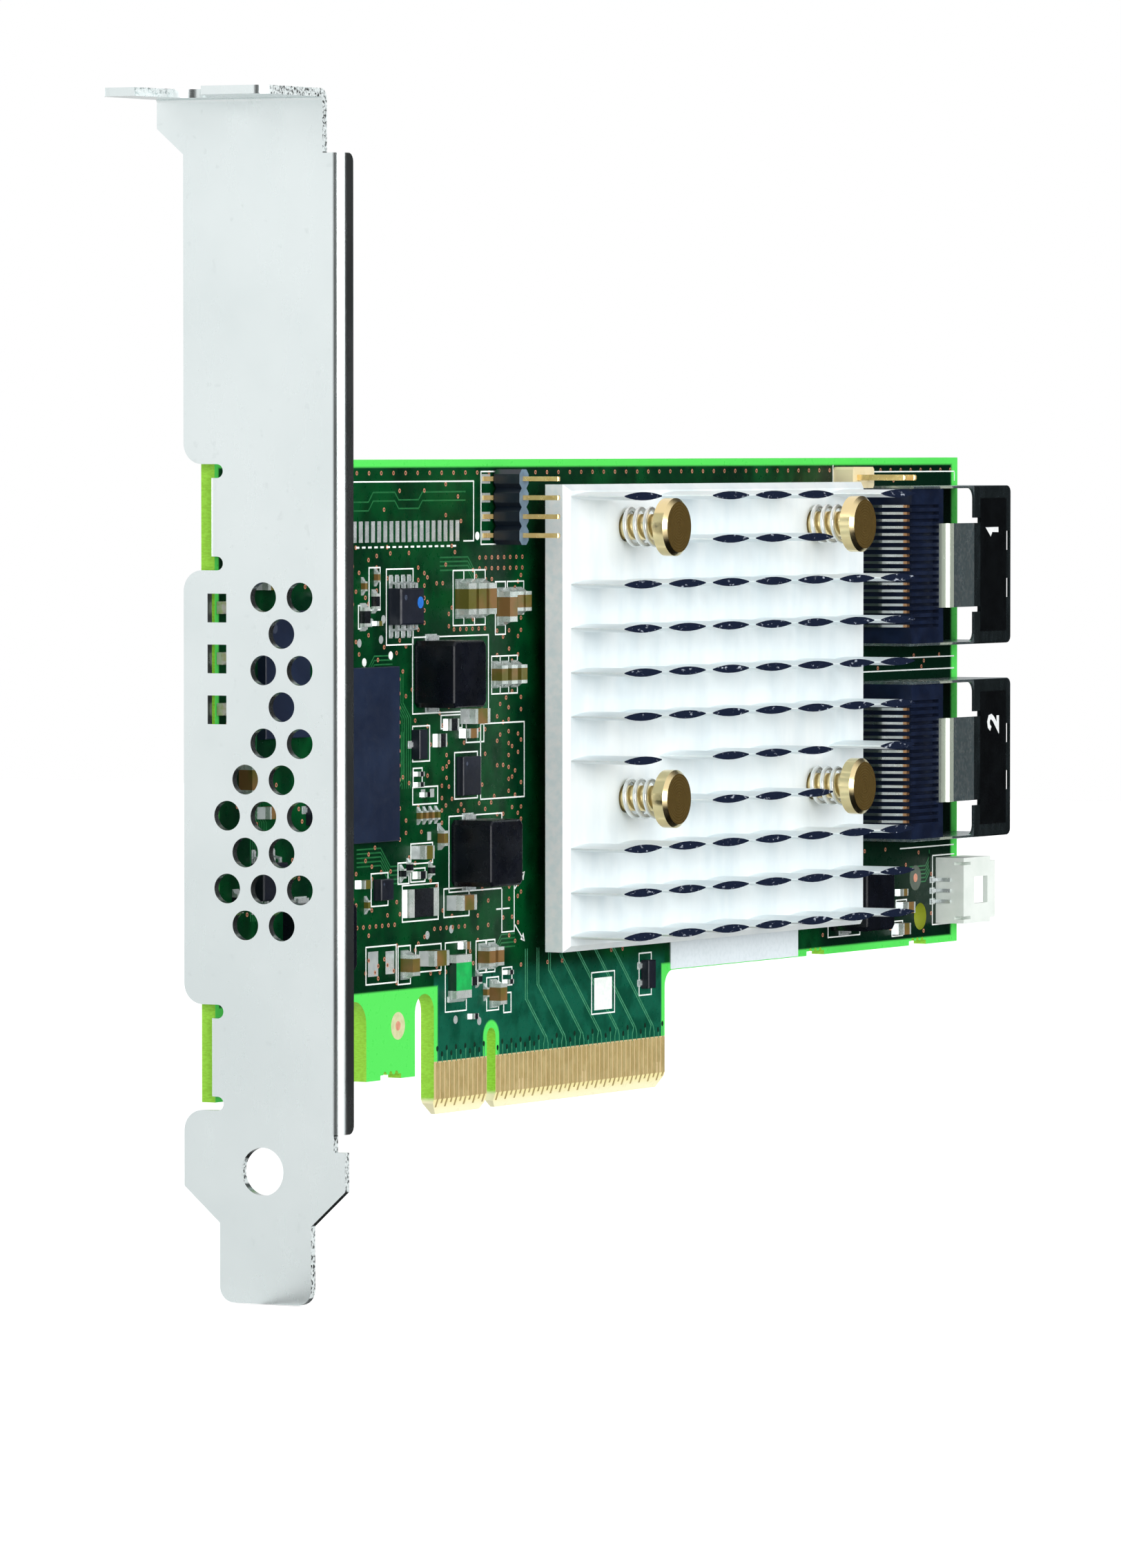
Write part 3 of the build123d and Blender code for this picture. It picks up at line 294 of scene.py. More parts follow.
def plastic_finish(name, colour, roughness, light, grain=0.25, depth=0.012, **inputs):
    """Moulded plastic: two near tones and a fine moulded grain."""
    f = Finish(name, colour, roughness, **inputs)
    f.colour(f.mix(f.span(f.noise(2.5, 4.0), 0.35, 0.7), colour, light))
    f.rough(f.span(f.noise(1.2, 3.0), 0.3, 0.7, roughness * 0.85, roughness * 1.2))
    return f.bump(f.noise(grain, 2.0), depth, 0.6)


# Heights beyond which the bracket's edges towards the viewer are torn by the shear
SHEARED_ABOVE = 99.7
SHEARED_BELOW = 1.2


def bracket_finish():
    """Bright zinc-plated sheet: faint upright rolling lines, clouds, rubbed spots and torn edges."""
    f = Finish("plated sheet", srgb(226, 235, 235), 0.3, 1.0)
    clouds = f.span(f.noise(22.0, 4.0), 0.35, 0.7)
    base = f.mix(clouds, srgb(230, 238, 238), srgb(222, 231, 231))
    spots = f.span(f.noise(1.1, 2.0), 0.66, 0.74)
    f.colour(f.mix(f.times(spots, 0.15), base, srgb(196, 206, 206)))
    _, _, z = f.axes()
    _, normal_y, _ = f.facing()
    above = f.span(z, SHEARED_ABOVE, SHEARED_ABOVE + 0.1)
    below = f.span(z, SHEARED_BELOW, SHEARED_BELOW - 0.1)
    sheared = f.times(f.math("MAXIMUM", above, below), f.span(normal_y, -0.8, -0.9))
    torn = f.times(sheared, f.span(f.noise(0.35, 3.0), 0.3, 0.6))
    f.feed(f.shader.inputs["Metallic"], f.span(torn, 0.0, 1.0, 1.0, 0.15))
    f.rough(f.span(f.noise(3.0, 5.0, (1, 1, 0.3)), 0.3, 0.7, 0.25, 0.29))
    return f.bump(f.noise(0.3, 3.0, (1, 1, 0.1)), 0.0015, 0.2)


def heatsink_finish():
    """Etched aluminium, milky where it is cast and mirror-like where the fins were cut off, where a dark
    navy is a painted reflection.
    """
    f = Finish("etched aluminium", srgb(236, 245, 247), 0.45, 0.12)
    _, y, _ = f.axes()
    normal_x, normal_y, _ = f.facing()
    tip_height = node_box("heatsink")[0].y + 0.05
    tip = f.times(f.span(y, tip_height + 0.1, tip_height), f.span(normal_y, -0.8, -0.95))
    body = f.mix(f.span(f.noise(4.0, 5.0, (1, 1, 0.3)), 0.35, 0.7), srgb(246, 252, 253), srgb(234, 243, 246))
    frost = f.span(f.noise(0.5, 4.0, (0.4, 1, 1)), 0.58, 0.7)
    # painted reflection: the dark navy of the cut fin ends stands for the dark studio they mirror; the
    # lighter streaks are frost
    frost_and_painted_reflection = f.mix(frost, srgb(46, 58, 88), srgb(214, 224, 238))
    # painted light: the face towards -X gets a tone of its own for how it is lit
    end = f.mix(f.span(f.noise(0.9, 3.0), 0.3, 0.7), srgb(232, 244, 246), srgb(248, 252, 252))
    f.colour(f.mix(tip, f.mix(f.span(normal_x, -0.8, -0.95), body, end), frost_and_painted_reflection))
    f.feed(f.shader.inputs["Metallic"], f.math("MULTIPLY_ADD", tip, f.span(frost, 0.0, 1.0, 0.5, 0.2), 0.12))
    f.rough(f.mix(tip, f.span(f.noise(2.0, 4.0, (1, 1, 0.2)), 0.3, 0.7, 0.4, 0.52), (0.16, 0.16, 0.16, 1)))
    return f.bump(f.noise(0.45, 4.0, (1, 1, 0.3)), 0.014, 0.5)


# Where the cages' rib and hood start and end, from the right end of the housing
RIB_START = -1.1
RIB_END = 1.6
HOOD_START = 7.2


def cage_finish():
    """Speckled sheet of the port cages; the pressed rib across each strap is painted lighter, a painted
    highlight.
    """
    f = Finish("cage steel", srgb(176, 194, 198), 0.24, 0.9)
    out = f.minus(f.axes()[0], node_box("port_1_housing")[1].x)
    rib = f.times(f.span(out, RIB_START - 0.5, RIB_START), f.span(out, RIB_END + 0.4, RIB_END))
    speckled = f.mix(f.span(f.noise(0.35, 3.0), 0.45, 0.62), srgb(164, 186, 192), srgb(200, 214, 216))
    hood = f.span(out, HOOD_START, HOOD_START + 0.3)
    speckled = f.mix(hood, speckled, srgb(132, 152, 158))
    # painted highlight: the rib's lighter, less metallic colour stands for the light it catches
    f.colour(f.mix(rib, speckled, srgb(196, 206, 190)))
    metallic = f.math("ADD", f.span(rib, 0.0, 1.0, 0.88, 0.45), f.span(hood, 0.0, 1.0, 0.0, 0.1))
    f.feed(f.shader.inputs["Metallic"], metallic)
    f.rough(f.span(f.noise(1.2, 4.0, (1, 1, 0.3)), 0.3, 0.7, 0.18, 0.3))
    return f.bump(f.noise(0.3, 2.0), 0.004, 0.4)


# From one turned ring to the next, in millimetres
RING_PITCH = 0.3


def brass_finish():
    """Turned brass: rings round each pin's own axis on the faces, which are painted darker than the bright
    sides as painted shade.
    """
    f = Finish("turned brass", srgb(226, 200, 140), 0.22, 1.0)
    pins = [box_middle(b) for b in solid_boxes("heatsink_pins")]

    def off_axis(value, axes):
        """The distance to the nearer of the outermost axes, along one direction."""
        away = [f.math("ABSOLUTE", f.minus(value, axis)) for axis in (min(axes), max(axes))]
        return f.math("MINIMUM", *away)

    x, _, z = f.axes()
    across = f.math("POWER", off_axis(x, [p.x for p in pins]), 2.0)
    upward = f.math("POWER", off_axis(z, [p.z for p in pins]), 2.0)
    out = f.math("SQRT", f.math("ADD", across, upward))
    rings = f.math("SINE", f.times(out, 2 * math.pi / RING_PITCH))
    _, normal_y, _ = f.facing()
    is_face = f.span(normal_y, -0.8, -0.95)
    # painted shade: the faces get a darker brass than the sides; the rings are the turned pattern
    face = f.mix(f.span(rings, -1.0, 1.0, 0.0, 0.3), srgb(176, 142, 74), srgb(232, 202, 136))
    f.colour(f.mix(is_face, srgb(240, 218, 166), face))
    f.feed(f.shader.inputs["Metallic"], f.span(is_face, 0.0, 1.0, 1.0, 0.84))
    f.rough(f.span(f.noise(0.8, 3.0), 0.3, 0.7, 0.14, 0.26))
    return f.bump(f.times(f.math("ADD", rings, f.noise(0.5, 3.0)), is_face), 0.014, 0.45)


def gold_finish(name="gold plate", metallic=1.0, roughness=0.3):
    f = Finish(name, srgb(212, 180, 112), roughness, metallic)
    f.colour(f.mix(f.span(f.noise(1.5, 4.0), 0.35, 0.7), srgb(206, 186, 130), srgb(193, 170, 112)))
    f.rough(f.span(f.noise(0.6, 3.0, (1, 1, 0.3)), 0.3, 0.7, roughness * 0.8, roughness * 1.3))
    return f.bump(f.noise(0.2, 2.0, (1, 1, 0.2)), 0.003, 0.3)


def chip_finish(name, colour, light, roughness=0.42):
    """Moulding compound: very fine pits and a soft sheen."""
    f = Finish(name, colour, roughness)
    f.colour(f.mix(f.span(f.noise(5.0, 3.0), 0.35, 0.7), colour, light))
    f.rough(f.span(f.noise(0.7, 3.0), 0.3, 0.7, roughness * 0.85, roughness * 1.15))
    return f.bump(f.noise(0.12, 2.0), 0.008, 0.6)


def ceramic_finish():
    """Brown-olive ceramic with a slight tone change from chip to chip."""
    f = Finish("ceramic", srgb(122, 112, 68), 0.34)
    tone = f.span(f.noise(3.4, 1.0), 0.4, 0.6)
    f.colour(f.mix(tone, srgb(98, 94, 36), srgb(130, 98, 56)))
    f.rough(f.span(f.noise(0.5, 3.0), 0.3, 0.7, 0.28, 0.42))
    return f.bump(f.noise(0.15, 2.0), 0.006, 0.5)


# Depths along a port lead, from its end in the comb
SHEARED_END = 0.3
SHADED_FOOT = 2.6


def contact_finish():
    """Port leads: bright tin, coppery only at the sheared ends in the comb."""
    f = Finish("port leads", srgb(226, 232, 230), 0.3, 0.8)
    deep = f.minus(f.axes()[1], node_box("port_1_contacts")[0].y)
    copper = f.span(deep, SHEARED_END + 0.2, SHEARED_END)
    tin = f.mix(f.span(f.noise(2.0, 3.0), 0.35, 0.65), srgb(236, 241, 239), srgb(214, 222, 220))
    tin = f.mix(f.span(deep, SHADED_FOOT + 0.8, SHADED_FOOT), srgb(112, 126, 128), tin)
    f.colour(f.mix(copper, tin, srgb(206, 156, 112)))
    f.rough(f.span(f.noise(2.0, 3.0), 0.3, 0.7, 0.24, 0.34))
    return f.bump(f.noise(0.6, 2.0), 0.001, 0.2)


def lit_face_finish(name, side, top, roughness=0.35):
    """Plastic whose outward faces are lighter than its sides: painted light on those faces, painted shade on
    the sides.
    """
    f = Finish(name, side, roughness)
    _, normal_y, _ = f.facing()
    clouds = f.span(f.noise(1.5, 3.0), 0.3, 0.7)
    # painted light and shade: the faces towards -Y take the light colour, the sides the dark one
    outward = f.times(f.span(normal_y, -0.7, -0.9), f.span(clouds, 0.0, 1.0, 0.75, 1.0))
    f.colour(f.mix(outward, side, top))
    f.rough(f.span(f.noise(0.8, 3.0), 0.3, 0.7, roughness * 0.85, roughness * 1.2))
    return f.bump(f.noise(0.25, 2.0), 0.008, 0.5)


def paper_finish():
    f = Finish("label paper", srgb(252, 253, 253), 0.6)
    f.colour(f.mix(f.span(f.noise(0.5, 4.0), 0.4, 0.7), srgb(232, 241, 246), srgb(225, 235, 240)))
    return f.bump(f.noise(0.1, 3.0), 0.003, 0.3)


def lamp_finish():
    """A clear lamp body with a pale yellow chip showing through."""
    f = Finish("lamp body", srgb(236, 236, 214), 0.18, transmission_weight=0.35, ior=1.5)
    f.colour(f.mix(f.span(f.noise(0.7, 2.0), 0.4, 0.65), srgb(240, 240, 224), srgb(214, 222, 168)))
    return f.bump(f.noise(0.4, 2.0), 0.01, 0.4)


def ink_finish(name, colour, dark, roughness=0.5, metallic=0.0):
    """Printed or plated marks on the board: slightly uneven tone and edge."""
    f = Finish(name, colour, roughness, metallic)
    f.colour(f.mix(f.span(f.noise(0.5, 3.0), 0.35, 0.7), colour, dark))
    return f.bump(f.noise(0.12, 2.0), 0.006, 0.5)


# In a metre; corners that fall on the same one are the same corner
MICRONS = 1e6


def solid_boxes(node):
    """The box of each separate solid in a node, in millimetres, from left to right."""
    mesh = frame["nodes"][node].data
    keys = [tuple(round(c * MICRONS) for c in v.co) for v in mesh.vertices]
    group = {key: key for key in keys}

    def root(key):
        while group[key] != key:
            group[key] = group[group[key]]
            key = group[key]
        return key

    for face in mesh.polygons:
        first = root(keys[face.vertices[0]])
        for index in face.vertices[1:]:
            group[root(keys[index])] = first
    found = {}
    for key in group:
        found.setdefault(root(key), []).append(Vector(key) / (MICRONS * MM))
    boxes = [(Vector(map(min, zip(*points))), Vector(map(max, zip(*points)))) for points in found.values()]
    return sorted(boxes, key=lambda b: (round(b[0].x, 3), round(b[0].z, 3)))


def box_middle(box):
    return (box[0] + box[1]) / 2


def make_object(name, mesh, finish, smooth=False):
    """A finished piece that rides on the card."""
    data = bpy.data.meshes.new(name)
    bmesh.ops.recalc_face_normals(mesh, faces=mesh.faces)
    mesh.to_mesh(data)
    mesh.free()
    for face in data.polygons:
        face.use_smooth = smooth
    piece = bpy.data.objects.new(name, data)
    bpy.context.scene.collection.objects.link(piece)
    data.materials.append(finish.material)
    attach(piece, "root")
    return piece


# Which corners of a fillet are raised, from the lower left one round
LEANS = {
    "left": (1, 0, 0, 1),
    "right": (0, 1, 1, 0),
    "down": (1, 1, 0, 0),
    "up": (0, 0, 1, 1),
}


def join_loops(mesh, first, second):
    """A band of faces between two closed loops of as many corners."""
    for i in range(len(first)):
        j = (i + 1) % len(first)
        mesh.faces.new((first[i], first[j], second[j], second[i]))


# The least share of a line's width that a mitre is worked out with
SHARPEST_MITRE = 0.35


class Layer:
    """Thin marks of one kind on one face of the board, drawn in X and Z, in millimetres."""

    def __init__(self, thickness, side=FRONT, base=None):
        self.mesh = bmesh.new()
        self.side = side
        self.low = side * HALF_BOARD if base is None else base
        self.high = self.low + side * thickness

    def polygon(self, points, rises=None):
        """A closed thin plate over these points, which can rise further at each of them."""
        heights = [self.high + self.side * rise for rise in rises or [0] * len(points)]
        lower = [self.mesh.verts.new(Vector((x, self.low, z)) * MM) for x, z in points]
        upper = [self.mesh.verts.new(Vector((x, y, z)) * MM) for (x, z), y in zip(points, heights)]
        self.mesh.faces.new(lower)
        self.mesh.faces.new(upper)
        join_loops(self.mesh, lower, upper)

    def disc(self, x, z, radius, sides=12, squeeze=1.0):
        turns = [2 * math.pi * i / sides for i in range(sides)]
        self.polygon([(x + radius * squeeze * math.cos(t), z + radius * math.sin(t)) for t in turns])

    def bar(self, left, bottom, right, top, rises=None):
        self.polygon([(left, bottom), (right, bottom), (right, top), (left, top)], rises)

    def line(self, points, width):
        """A line of this width through the points, mitred at its corners."""
        places = [Vector(p) for p in points]
        steps = [(b - a).normalized() for a, b in zip(places, places[1:])]
        sides = [Vector((-s.y, s.x)) for s in steps]
        edges = []
        for i, place in enumerate(places):
            before = sides[max(i - 1, 0)]
            after = sides[min(i, len(sides) - 1)]
            middle = (before + after).normalized()
            out = middle * (width / 2 / max(middle.dot(after), SHARPEST_MITRE))
            edges.append((place + out, place - out))
        for (a, b), (c, d) in zip(edges, edges[1:]):
            self.polygon([a, b, d, c])

    def outline(self, left, bottom, right, top):
        half = INK_W / 2
        self.bar(left - half, bottom - half, right + half, bottom + half)
        self.bar(left - half, top - half, right + half, top + half)
        self.bar(left - half, bottom + half, left + half, top - half)
        self.bar(right - half, bottom + half, right + half, top - half)

    def wedge(self, left, bottom, right, top, rise, towards):
        """A sloped fillet of solder that is highest on the side it leans towards."""
        self.bar(left, bottom, right, top, [rise * amount for amount in LEANS[towards]])

    def done(self, name, finish):
        make_object(name, self.mesh, finish)


def solid_tree():
    """Every CAD solid but the bracket, to find the bare spots of the board."""
    points = []
    faces = []
    for name, node in frame["nodes"].items():
        if name == "mounting_bracket":
            continue
        start = len(points)
        points += [v.co / MM for v in node.data.vertices]
        faces += [[start + i for i in p.vertices] for p in node.data.polygons]
    return BVHTree.FromPolygons(points, faces)


TREE = solid_tree()
NEAR_FACE = 0.02
FAR_OUT = 60.0


def is_bare(x, z, margin, side=FRONT):
    """Whether the board's face is free at this place and a margin round it."""
    for dx, dz in ((0, 0), (margin, 0), (-margin, 0), (0, margin), (0, -margin)):
        hit = TREE.ray_cast(Vector((x + dx, side * FAR_OUT, z + dz)), Vector((0, -side, 0)))[0]
        if hit is None or abs(hit.y - side * HALF_BOARD) > NEAR_FACE:
            return False
    return True


# Thicknesses of the marks, from the thinnest to those that cover others
TRACE_T = 0.01
MARK_T = 0.012
STUB_VIA_T = 0.016
PAD_MARK_T = 0.018
THICK_MARK = 0.02
INK_T = 0.03
INK_W = 0.15
DOT_R = 0.45
ROUND = 20
# The short dashes below the bare pads: half a dash's length, and how far down it starts and ends
DASH_HALF = 0.35
DASH_DOWN = (0.4, 0.6)

# White outlines round the parts, as (left, bottom, right, top)
INK_BOXES = (
    (-2.2, 59.9, 3.0, 67.6),
    (-22.3, 49.6, -16.7, 57.5),
    (-8.2, 51.4, -1.3, 57.2),
    (0.9, 50.3, 3.1, 55.9),
    (3.5, 52.4, 7.1, 55.9),
    (0.1, 44.0, 5.7, 48.0),
    (-16.8, 42.3, -0.6, 50.3),
    (-10.8, 40.6, -6.3, 42.0),
    (-5.4, 39.0, -1.6, 42.1),
    (-2.3, 32.9, 7.2, 40.9),
    (-16.8, 37.3, -13.2, 41.0),
    (-16.7, 34.7, -14.8, 36.6),
    (-7.9, 33.1, -3.0, 38.0),
    (-25.9, 53.3, -23.6, 57.7),
    (-28.1, 51.4, -26.3, 53.8),
    (-16.8, 32.8, -11.5, 34.6),
    (-17.2, 26.6, -12.6, 28.7),
    (-9.1, 23.3, 2.3, 31.3),
    (-19.9, 24.6, -17.6, 26.8),
    (-17.2, 24.7, -14.2, 26.1),
    (-19.0, 20.6, -11.4, 24.4),
    (-10.2, 20.7, -4.8, 23.7),
    (-25.5, 22.5, -22.0, 25.9),
    (2.3, 18.6, 5.0, 23.7),
    (-26.6, 14.4, -20.3, 18.3),
    (-19.9, 14.1, -17.3, 18.1),
    (-16.2, 15.2, -10.8, 18.0),
    (-9.9, 10.7, -5.4, 18.0),
    (-3.3, 14.5, -1.2, 17.9),
    (-1.0, 14.5, 0.8, 17.9),
    (2.4, 12.9, 4.5, 14.8),
    (-1.0, 10.4, 1.6, 13.9),
    (2.7, 10.0, 4.3, 12.1),
    (33.0, 10.3, 35.8, 14.9),
    (22.2, 8.8, 27.4, 13.3),
    (78.0, 14.6, 85.9, 23.0),
    (94.0, 14.0, 96.7, 15.7),
    (95.0, 16.4, 97.7, 18.1),
)
# Single white lines, each a few points
INK_LINES = (
    ((-32.0, 66.6), (-3.8, 66.6), (-3.8, 60.3), (-6.0, 60.3)),
    ((-5.9, 51.4), (-5.9, 57.2)),
    ((-3.6, 51.4), (-3.6, 57.2)),
    ((1.95, 44.0), (1.95, 48.0)),
    ((3.8, 44.0), (3.8, 48.0)),
    ((1.1, 21.1), (4.0, 21.1)),
    ((5.0, 23.0), (7.0, 24.7)),
    ((5.0, 19.4), (7.0, 17.6)),
    ((79.1, 65.2), (84.6, 65.2)),
    ((79.1, 65.2), (79.1, 68.1)),
    ((84.9, 67.6), (84.9, 65.2)),
    ((109.8, 67.3), (86.5, 67.3)),
    ((109.8, 67.3), (109.8, 66.2)),
    ((86.5, 45.9), (109.8, 45.9)),
    ((86.5, 44.5), (109.8, 44.5)),
    ((96.0, 24.0), (109.8, 24.0)),
    ((104.3, 22.9), (104.3, 14.9), (109.9, 14.9)),
    ((104.3, 22.9), (109.9, 22.9)),
)
WHITE_DOTS = ((-21.4, 48.5), (-3.0, 60.8), (-24.3, 57.0), (-26.9, 47.9), (78.6, 24.2))
LABEL_FIELD = (22.8, 9.2, 26.8, 12.7)
# Heads of the two arrows, as the tip and whether it points up or down
ARROWS = (((7.3, 24.9), 1), ((7.3, 17.4), -1))
ARROW_BARBS = ((0.95, 0.25), (0.3, 0.95))


def silkscreen():
    """White lines and dots on the component face; all of its writing is left out."""
    ink = Layer(INK_T)
    for box in INK_BOXES:
        ink.outline(*box)
    for points in INK_LINES:
        ink.line(points, INK_W)
    for x, z in WHITE_DOTS:
        ink.disc(x, z, DOT_R)
    for tip, side in ARROWS:
        ink.polygon([tip] + [(tip[0] - a, tip[1] - side * b) for a, b in ARROW_BARBS])
    ink.bar(*LABEL_FIELD)
    pads_low, _ = node_box("service_pads")
    pads = solid_boxes("service_pads")
    for first, second in zip(pads, pads[1:]):
        gap = (first[1].x + second[0].x) / 2
        ink.bar(gap - DASH_HALF, pads_low.z - DASH_DOWN[1], gap + DASH_HALF, pads_low.z - DASH_DOWN[0])
    finish = ink_finish("white ink", srgb(252, 255, 253), srgb(238, 246, 241))
    ink.done("silkscreen", finish)


# How far the outlines on the back stand in from the parts on the front, or out from those behind
PORT_INSET = 0.6
CHIP_INSET = 1.0
BACK_OUTSET = 1.2


def back_silkscreen():
    """White outlines on the back, under the chip and the ports."""
    ink = Layer(INK_T, BACK)
    low, high = node_box("back_capacitors")
    ink.outline(low.x - BACK_OUTSET, low.z - BACK_OUTSET, high.x + BACK_OUTSET, high.z + BACK_OUTSET)
    for name in ("port_1_housing", "port_2_housing", "side_connector_housing"):
        low, high = node_box(name)
        right = min(high.x, BOARD_RIGHT - BACK_OUTSET)
        ink.outline(low.x + PORT_INSET, low.z + PORT_INSET, right, high.z - PORT_INSET)
    for low, high in solid_boxes("inductors") + solid_boxes("memory_chips"):
        ink.outline(low.x + CHIP_INSET, low.z + CHIP_INSET, high.x - CHIP_INSET, high.z - CHIP_INSET)
    finish = ink_finish("white ink back", srgb(236, 242, 238), srgb(214, 226, 218))
    ink.done("back_silkscreen", finish)


VIA_R = 0.24
VIA_HOLE_R = 0.12
VIA_HOLE_T = 0.026
# Straight rows of vias, as (first x, first z, step x, step z, count)
VIA_ROWS = (
    (-53.8, 67.5, 2.54, 0.0, 65),
    (-2.5, 58.5, 1.33, 0.0, 8),
    (-2.5, 57.35, 1.33, 0.0, 8),
    (-2.5, 56.2, 1.33, 0.0, 3),
    (-8.0, 51.0, 1.33, 0.0, 6),
    (-24.3, 58.9, 0.0, -1.2, 4),
    (-15.6, 57.6, 0.0, -1.3, 6),
    (-14.3, 57.0, 0.0, -1.3, 5),
    (-9.6, 41.4, 0.0, -1.2, 6),
    (-19.6, 46.0, 0.0, -1.5, 8),
    (-10.6, 34.6, 0.0, -1.3, 5),
    (-28.4, 20.4, 1.3, 0.0, 7),
    (-12.2, 19.6, 1.3, 0.0, 6),
    (-2.9, 20.6, 0.0, -1.3, 4),
    (3.8, 42.5, 0.0, -1.27, 8),
    (5.8, 31.2, 0.0, -1.27, 8),
    (79.0, 62.0, 0.0, -1.9, 20),
    (82.2, 61.0, 0.0, -1.9, 20),
)
BIG_VIAS = (
    (-23.4, 50.2),
    (-22.9, 52.3),
    (-27.9, 49.9),
    (-25.4, 52.0),
    (-13.7, 19.0),
    (-8.6, 19.4),
    (-7.7, 9.8),
    (-2.6, 9.4),
)
# Zones of scattered vias, as (left, bottom, right, top) and how many are tried
VIA_ZONES = (
    ((-29.5, 14.0, 7.0, 59.0), 300),
    ((-55.0, 14.0, 109.0, 66.5), 620),
)
VIA_GRID = 0.65
VIA_SPACING = 0.9
VIA_MARGIN = 0.4


def via_places():
    """Rows that show in the photograph, then a seeded scatter over the bare spots."""
    chance = random.Random(11)
    places = [(x + dx * i, z + dz * i) for x, z, dx, dz, count in VIA_ROWS for i in range(count)]
    for (left, bottom, right, top), count in VIA_ZONES:
        for _ in range(count):
            x = round(chance.uniform(left, right) / VIA_GRID) * VIA_GRID
            z = round(chance.uniform(bottom, top) / VIA_GRID) * VIA_GRID
            places.append((x, z))
    kept = []
    for x, z in places:
        clear = all(abs(x - a) + abs(z - b) > VIA_SPACING for a, b in kept)
        if clear and is_bare(x, z, VIA_MARGIN):
            kept.append((x, z))
    return kept


def vias(places):
    """Masked vias, as copper-pink rings with a dark middle, on both faces."""
    copper = ink_finish("via copper", srgb(206, 140, 112), srgb(182, 112, 84), 0.35)
    dark = ink_finish("via hole", srgb(30, 50, 34), srgb(22, 38, 26), 0.6)
    rings = Layer(THICK_MARK)
    holes = Layer(VIA_HOLE_T)
    rings_back = Layer(THICK_MARK, BACK)
    for x, z in places:
        rings.disc(x, z, VIA_R, 10)
        holes.disc(x, z, VIA_HOLE_R, 6)
        if is_bare(x, z, VIA_MARGIN, BACK):
            rings_back.disc(x, z, VIA_R, 10)
    rings.done("vias", copper)
    holes.done("via_holes", dark)
    rings_back.done("back_vias", copper)


TRACE_W = 0.16
PAIR_GAP = 0.42
PAIR_TOP = 16.6
PAIR_BEND = 6.9
FINGER_BEND = 6.2
# Pairs of contacts whose traces climb to the controller, as each pair's middle
PAIR_X = (12.0, 16.0, 20.0, 24.0, 28.0, 32.0, 36.0)
PAIR_LEAN = 0.36
STUB_RISE = (1.5, 0.9)
STUB_VIA_R = 0.3
STUB_VIA_SQUEEZE = 0.75
# How far the traces start below the contacts' upper ends
PAD_OVERLAP = 0.1


def tongue_traces():
    """Thin pairs that come down from under the heatsink, and short stubs with a via on the rest."""
    traces = Layer(MARK_T)
    drops = Layer(STUB_VIA_T)
    fingers = [box_middle(b).x for b in solid_boxes("edge_contacts") if b[0].y < 0]
    paired = set()
    for middle in PAIR_X:
        run = min(middle * PAIR_LEAN, PAIR_TOP - PAIR_BEND)
        for side in (-1, 1):
            finger = min(fingers, key=lambda x: abs(x - middle - side * 0.5))
            paired.add(finger)
            x = middle + side * PAIR_GAP / 2
            points = [(x - run, PAIR_TOP), (x - run, PAIR_BEND + run), (x, PAIR_BEND)]
            traces.line(points + [(finger, FINGER_BEND), (finger, PADS_HIGH.z - PAD_OVERLAP)], TRACE_W)
    for i, x in enumerate(fingers):
        if x in paired:
            continue
        rise = PADS_HIGH.z + STUB_RISE[i % 2]
        traces.line([(x, PADS_HIGH.z - PAD_OVERLAP), (x, rise)], TRACE_W)
        drops.disc(x - PAD_OVERLAP, rise, STUB_VIA_R, 10, STUB_VIA_SQUEEZE)
    copper = ink_finish("masked copper", srgb(72, 150, 112), srgb(54, 128, 92), 0.32)
    traces.done("tongue_traces", copper)
    dark = ink_finish("masked via", srgb(12, 42, 30), srgb(18, 54, 38), 0.4)
    drops.done("tongue_vias", dark)


# Bundles of masked traces, as (start x, start z, step x, step z, count, ((dx, dz), ...))
TRACE_BUNDLES = (
    (-30.0, 63.6, 0.0, 0.9, 2, ((4, 0), (5, 1), (9.5, 1), (10.3, 0.2), (14.5, 0.2), (15.3, 1), (24.5, 1))),
    (-29.0, 44.5, 0.0, 0.45, 5, ((2.0, 0.0), (4.2, 2.2), (8.0, 2.2))),
    (-20.6, 46.5, 0.45, 0.0, 5, ((0.0, -3.0), (1.6, -4.6), (1.6, -12.0))),
    (-11.0, 58.6, 0.0, -0.45, 4, ((6.0, 0.0), (8.2, -2.2), (8.2, -4.0))),
    (-22.0, 31.5, 0.45, 0.0, 6, ((0.0, 3.0), (1.0, 4.0), (1.0, 9.0))),
    (-2.0, 44.0, 0.45, 0.0, 4, ((0.0, -2.0), (-1.0, -3.0), (-1.0, -5.0))),
    (5.2, 17.0, 0.0, 0.45, 4, ((-3.0, 0.0), (-5.0, -2.0), (-5.0, -4.0))),
    (-28.5, 28.5, 0.0, -0.45, 5, ((5.0, 0.0), (7.0, -2.0), (9.0, -2.0))),
    (78.2, 30.0, 0.42, 0.0, 6, ((0.0, 10.0), (2.0, 12.0), (2.0, 28.0))),
    (98.5, 20.0, 0.0, 0.45, 5, ((4.0, 0.0), (5.0, 1.0), (5.0, 1.8))),
    (-54.0, 61.5, 0.0, 0.5, 6, ((6.0, 0.0), (8.0, 2.0), (20.0, 2.0))),
    (-52.0, 42.0, 0.45, 0.0, 8, ((0.0, -8.0), (2.0, -10.0), (2.0, -20.0))),
    (-34.0, 16.0, 0.45, 0.0, 7, ((0.0, 12.0), (-2.0, 14.0), (-2.0, 30.0))),
)


# The back has the same bundles, shifted to the right where they fit and else to the left
BACK_SHIFT = 12.0
BACK_MARGIN = 2.0


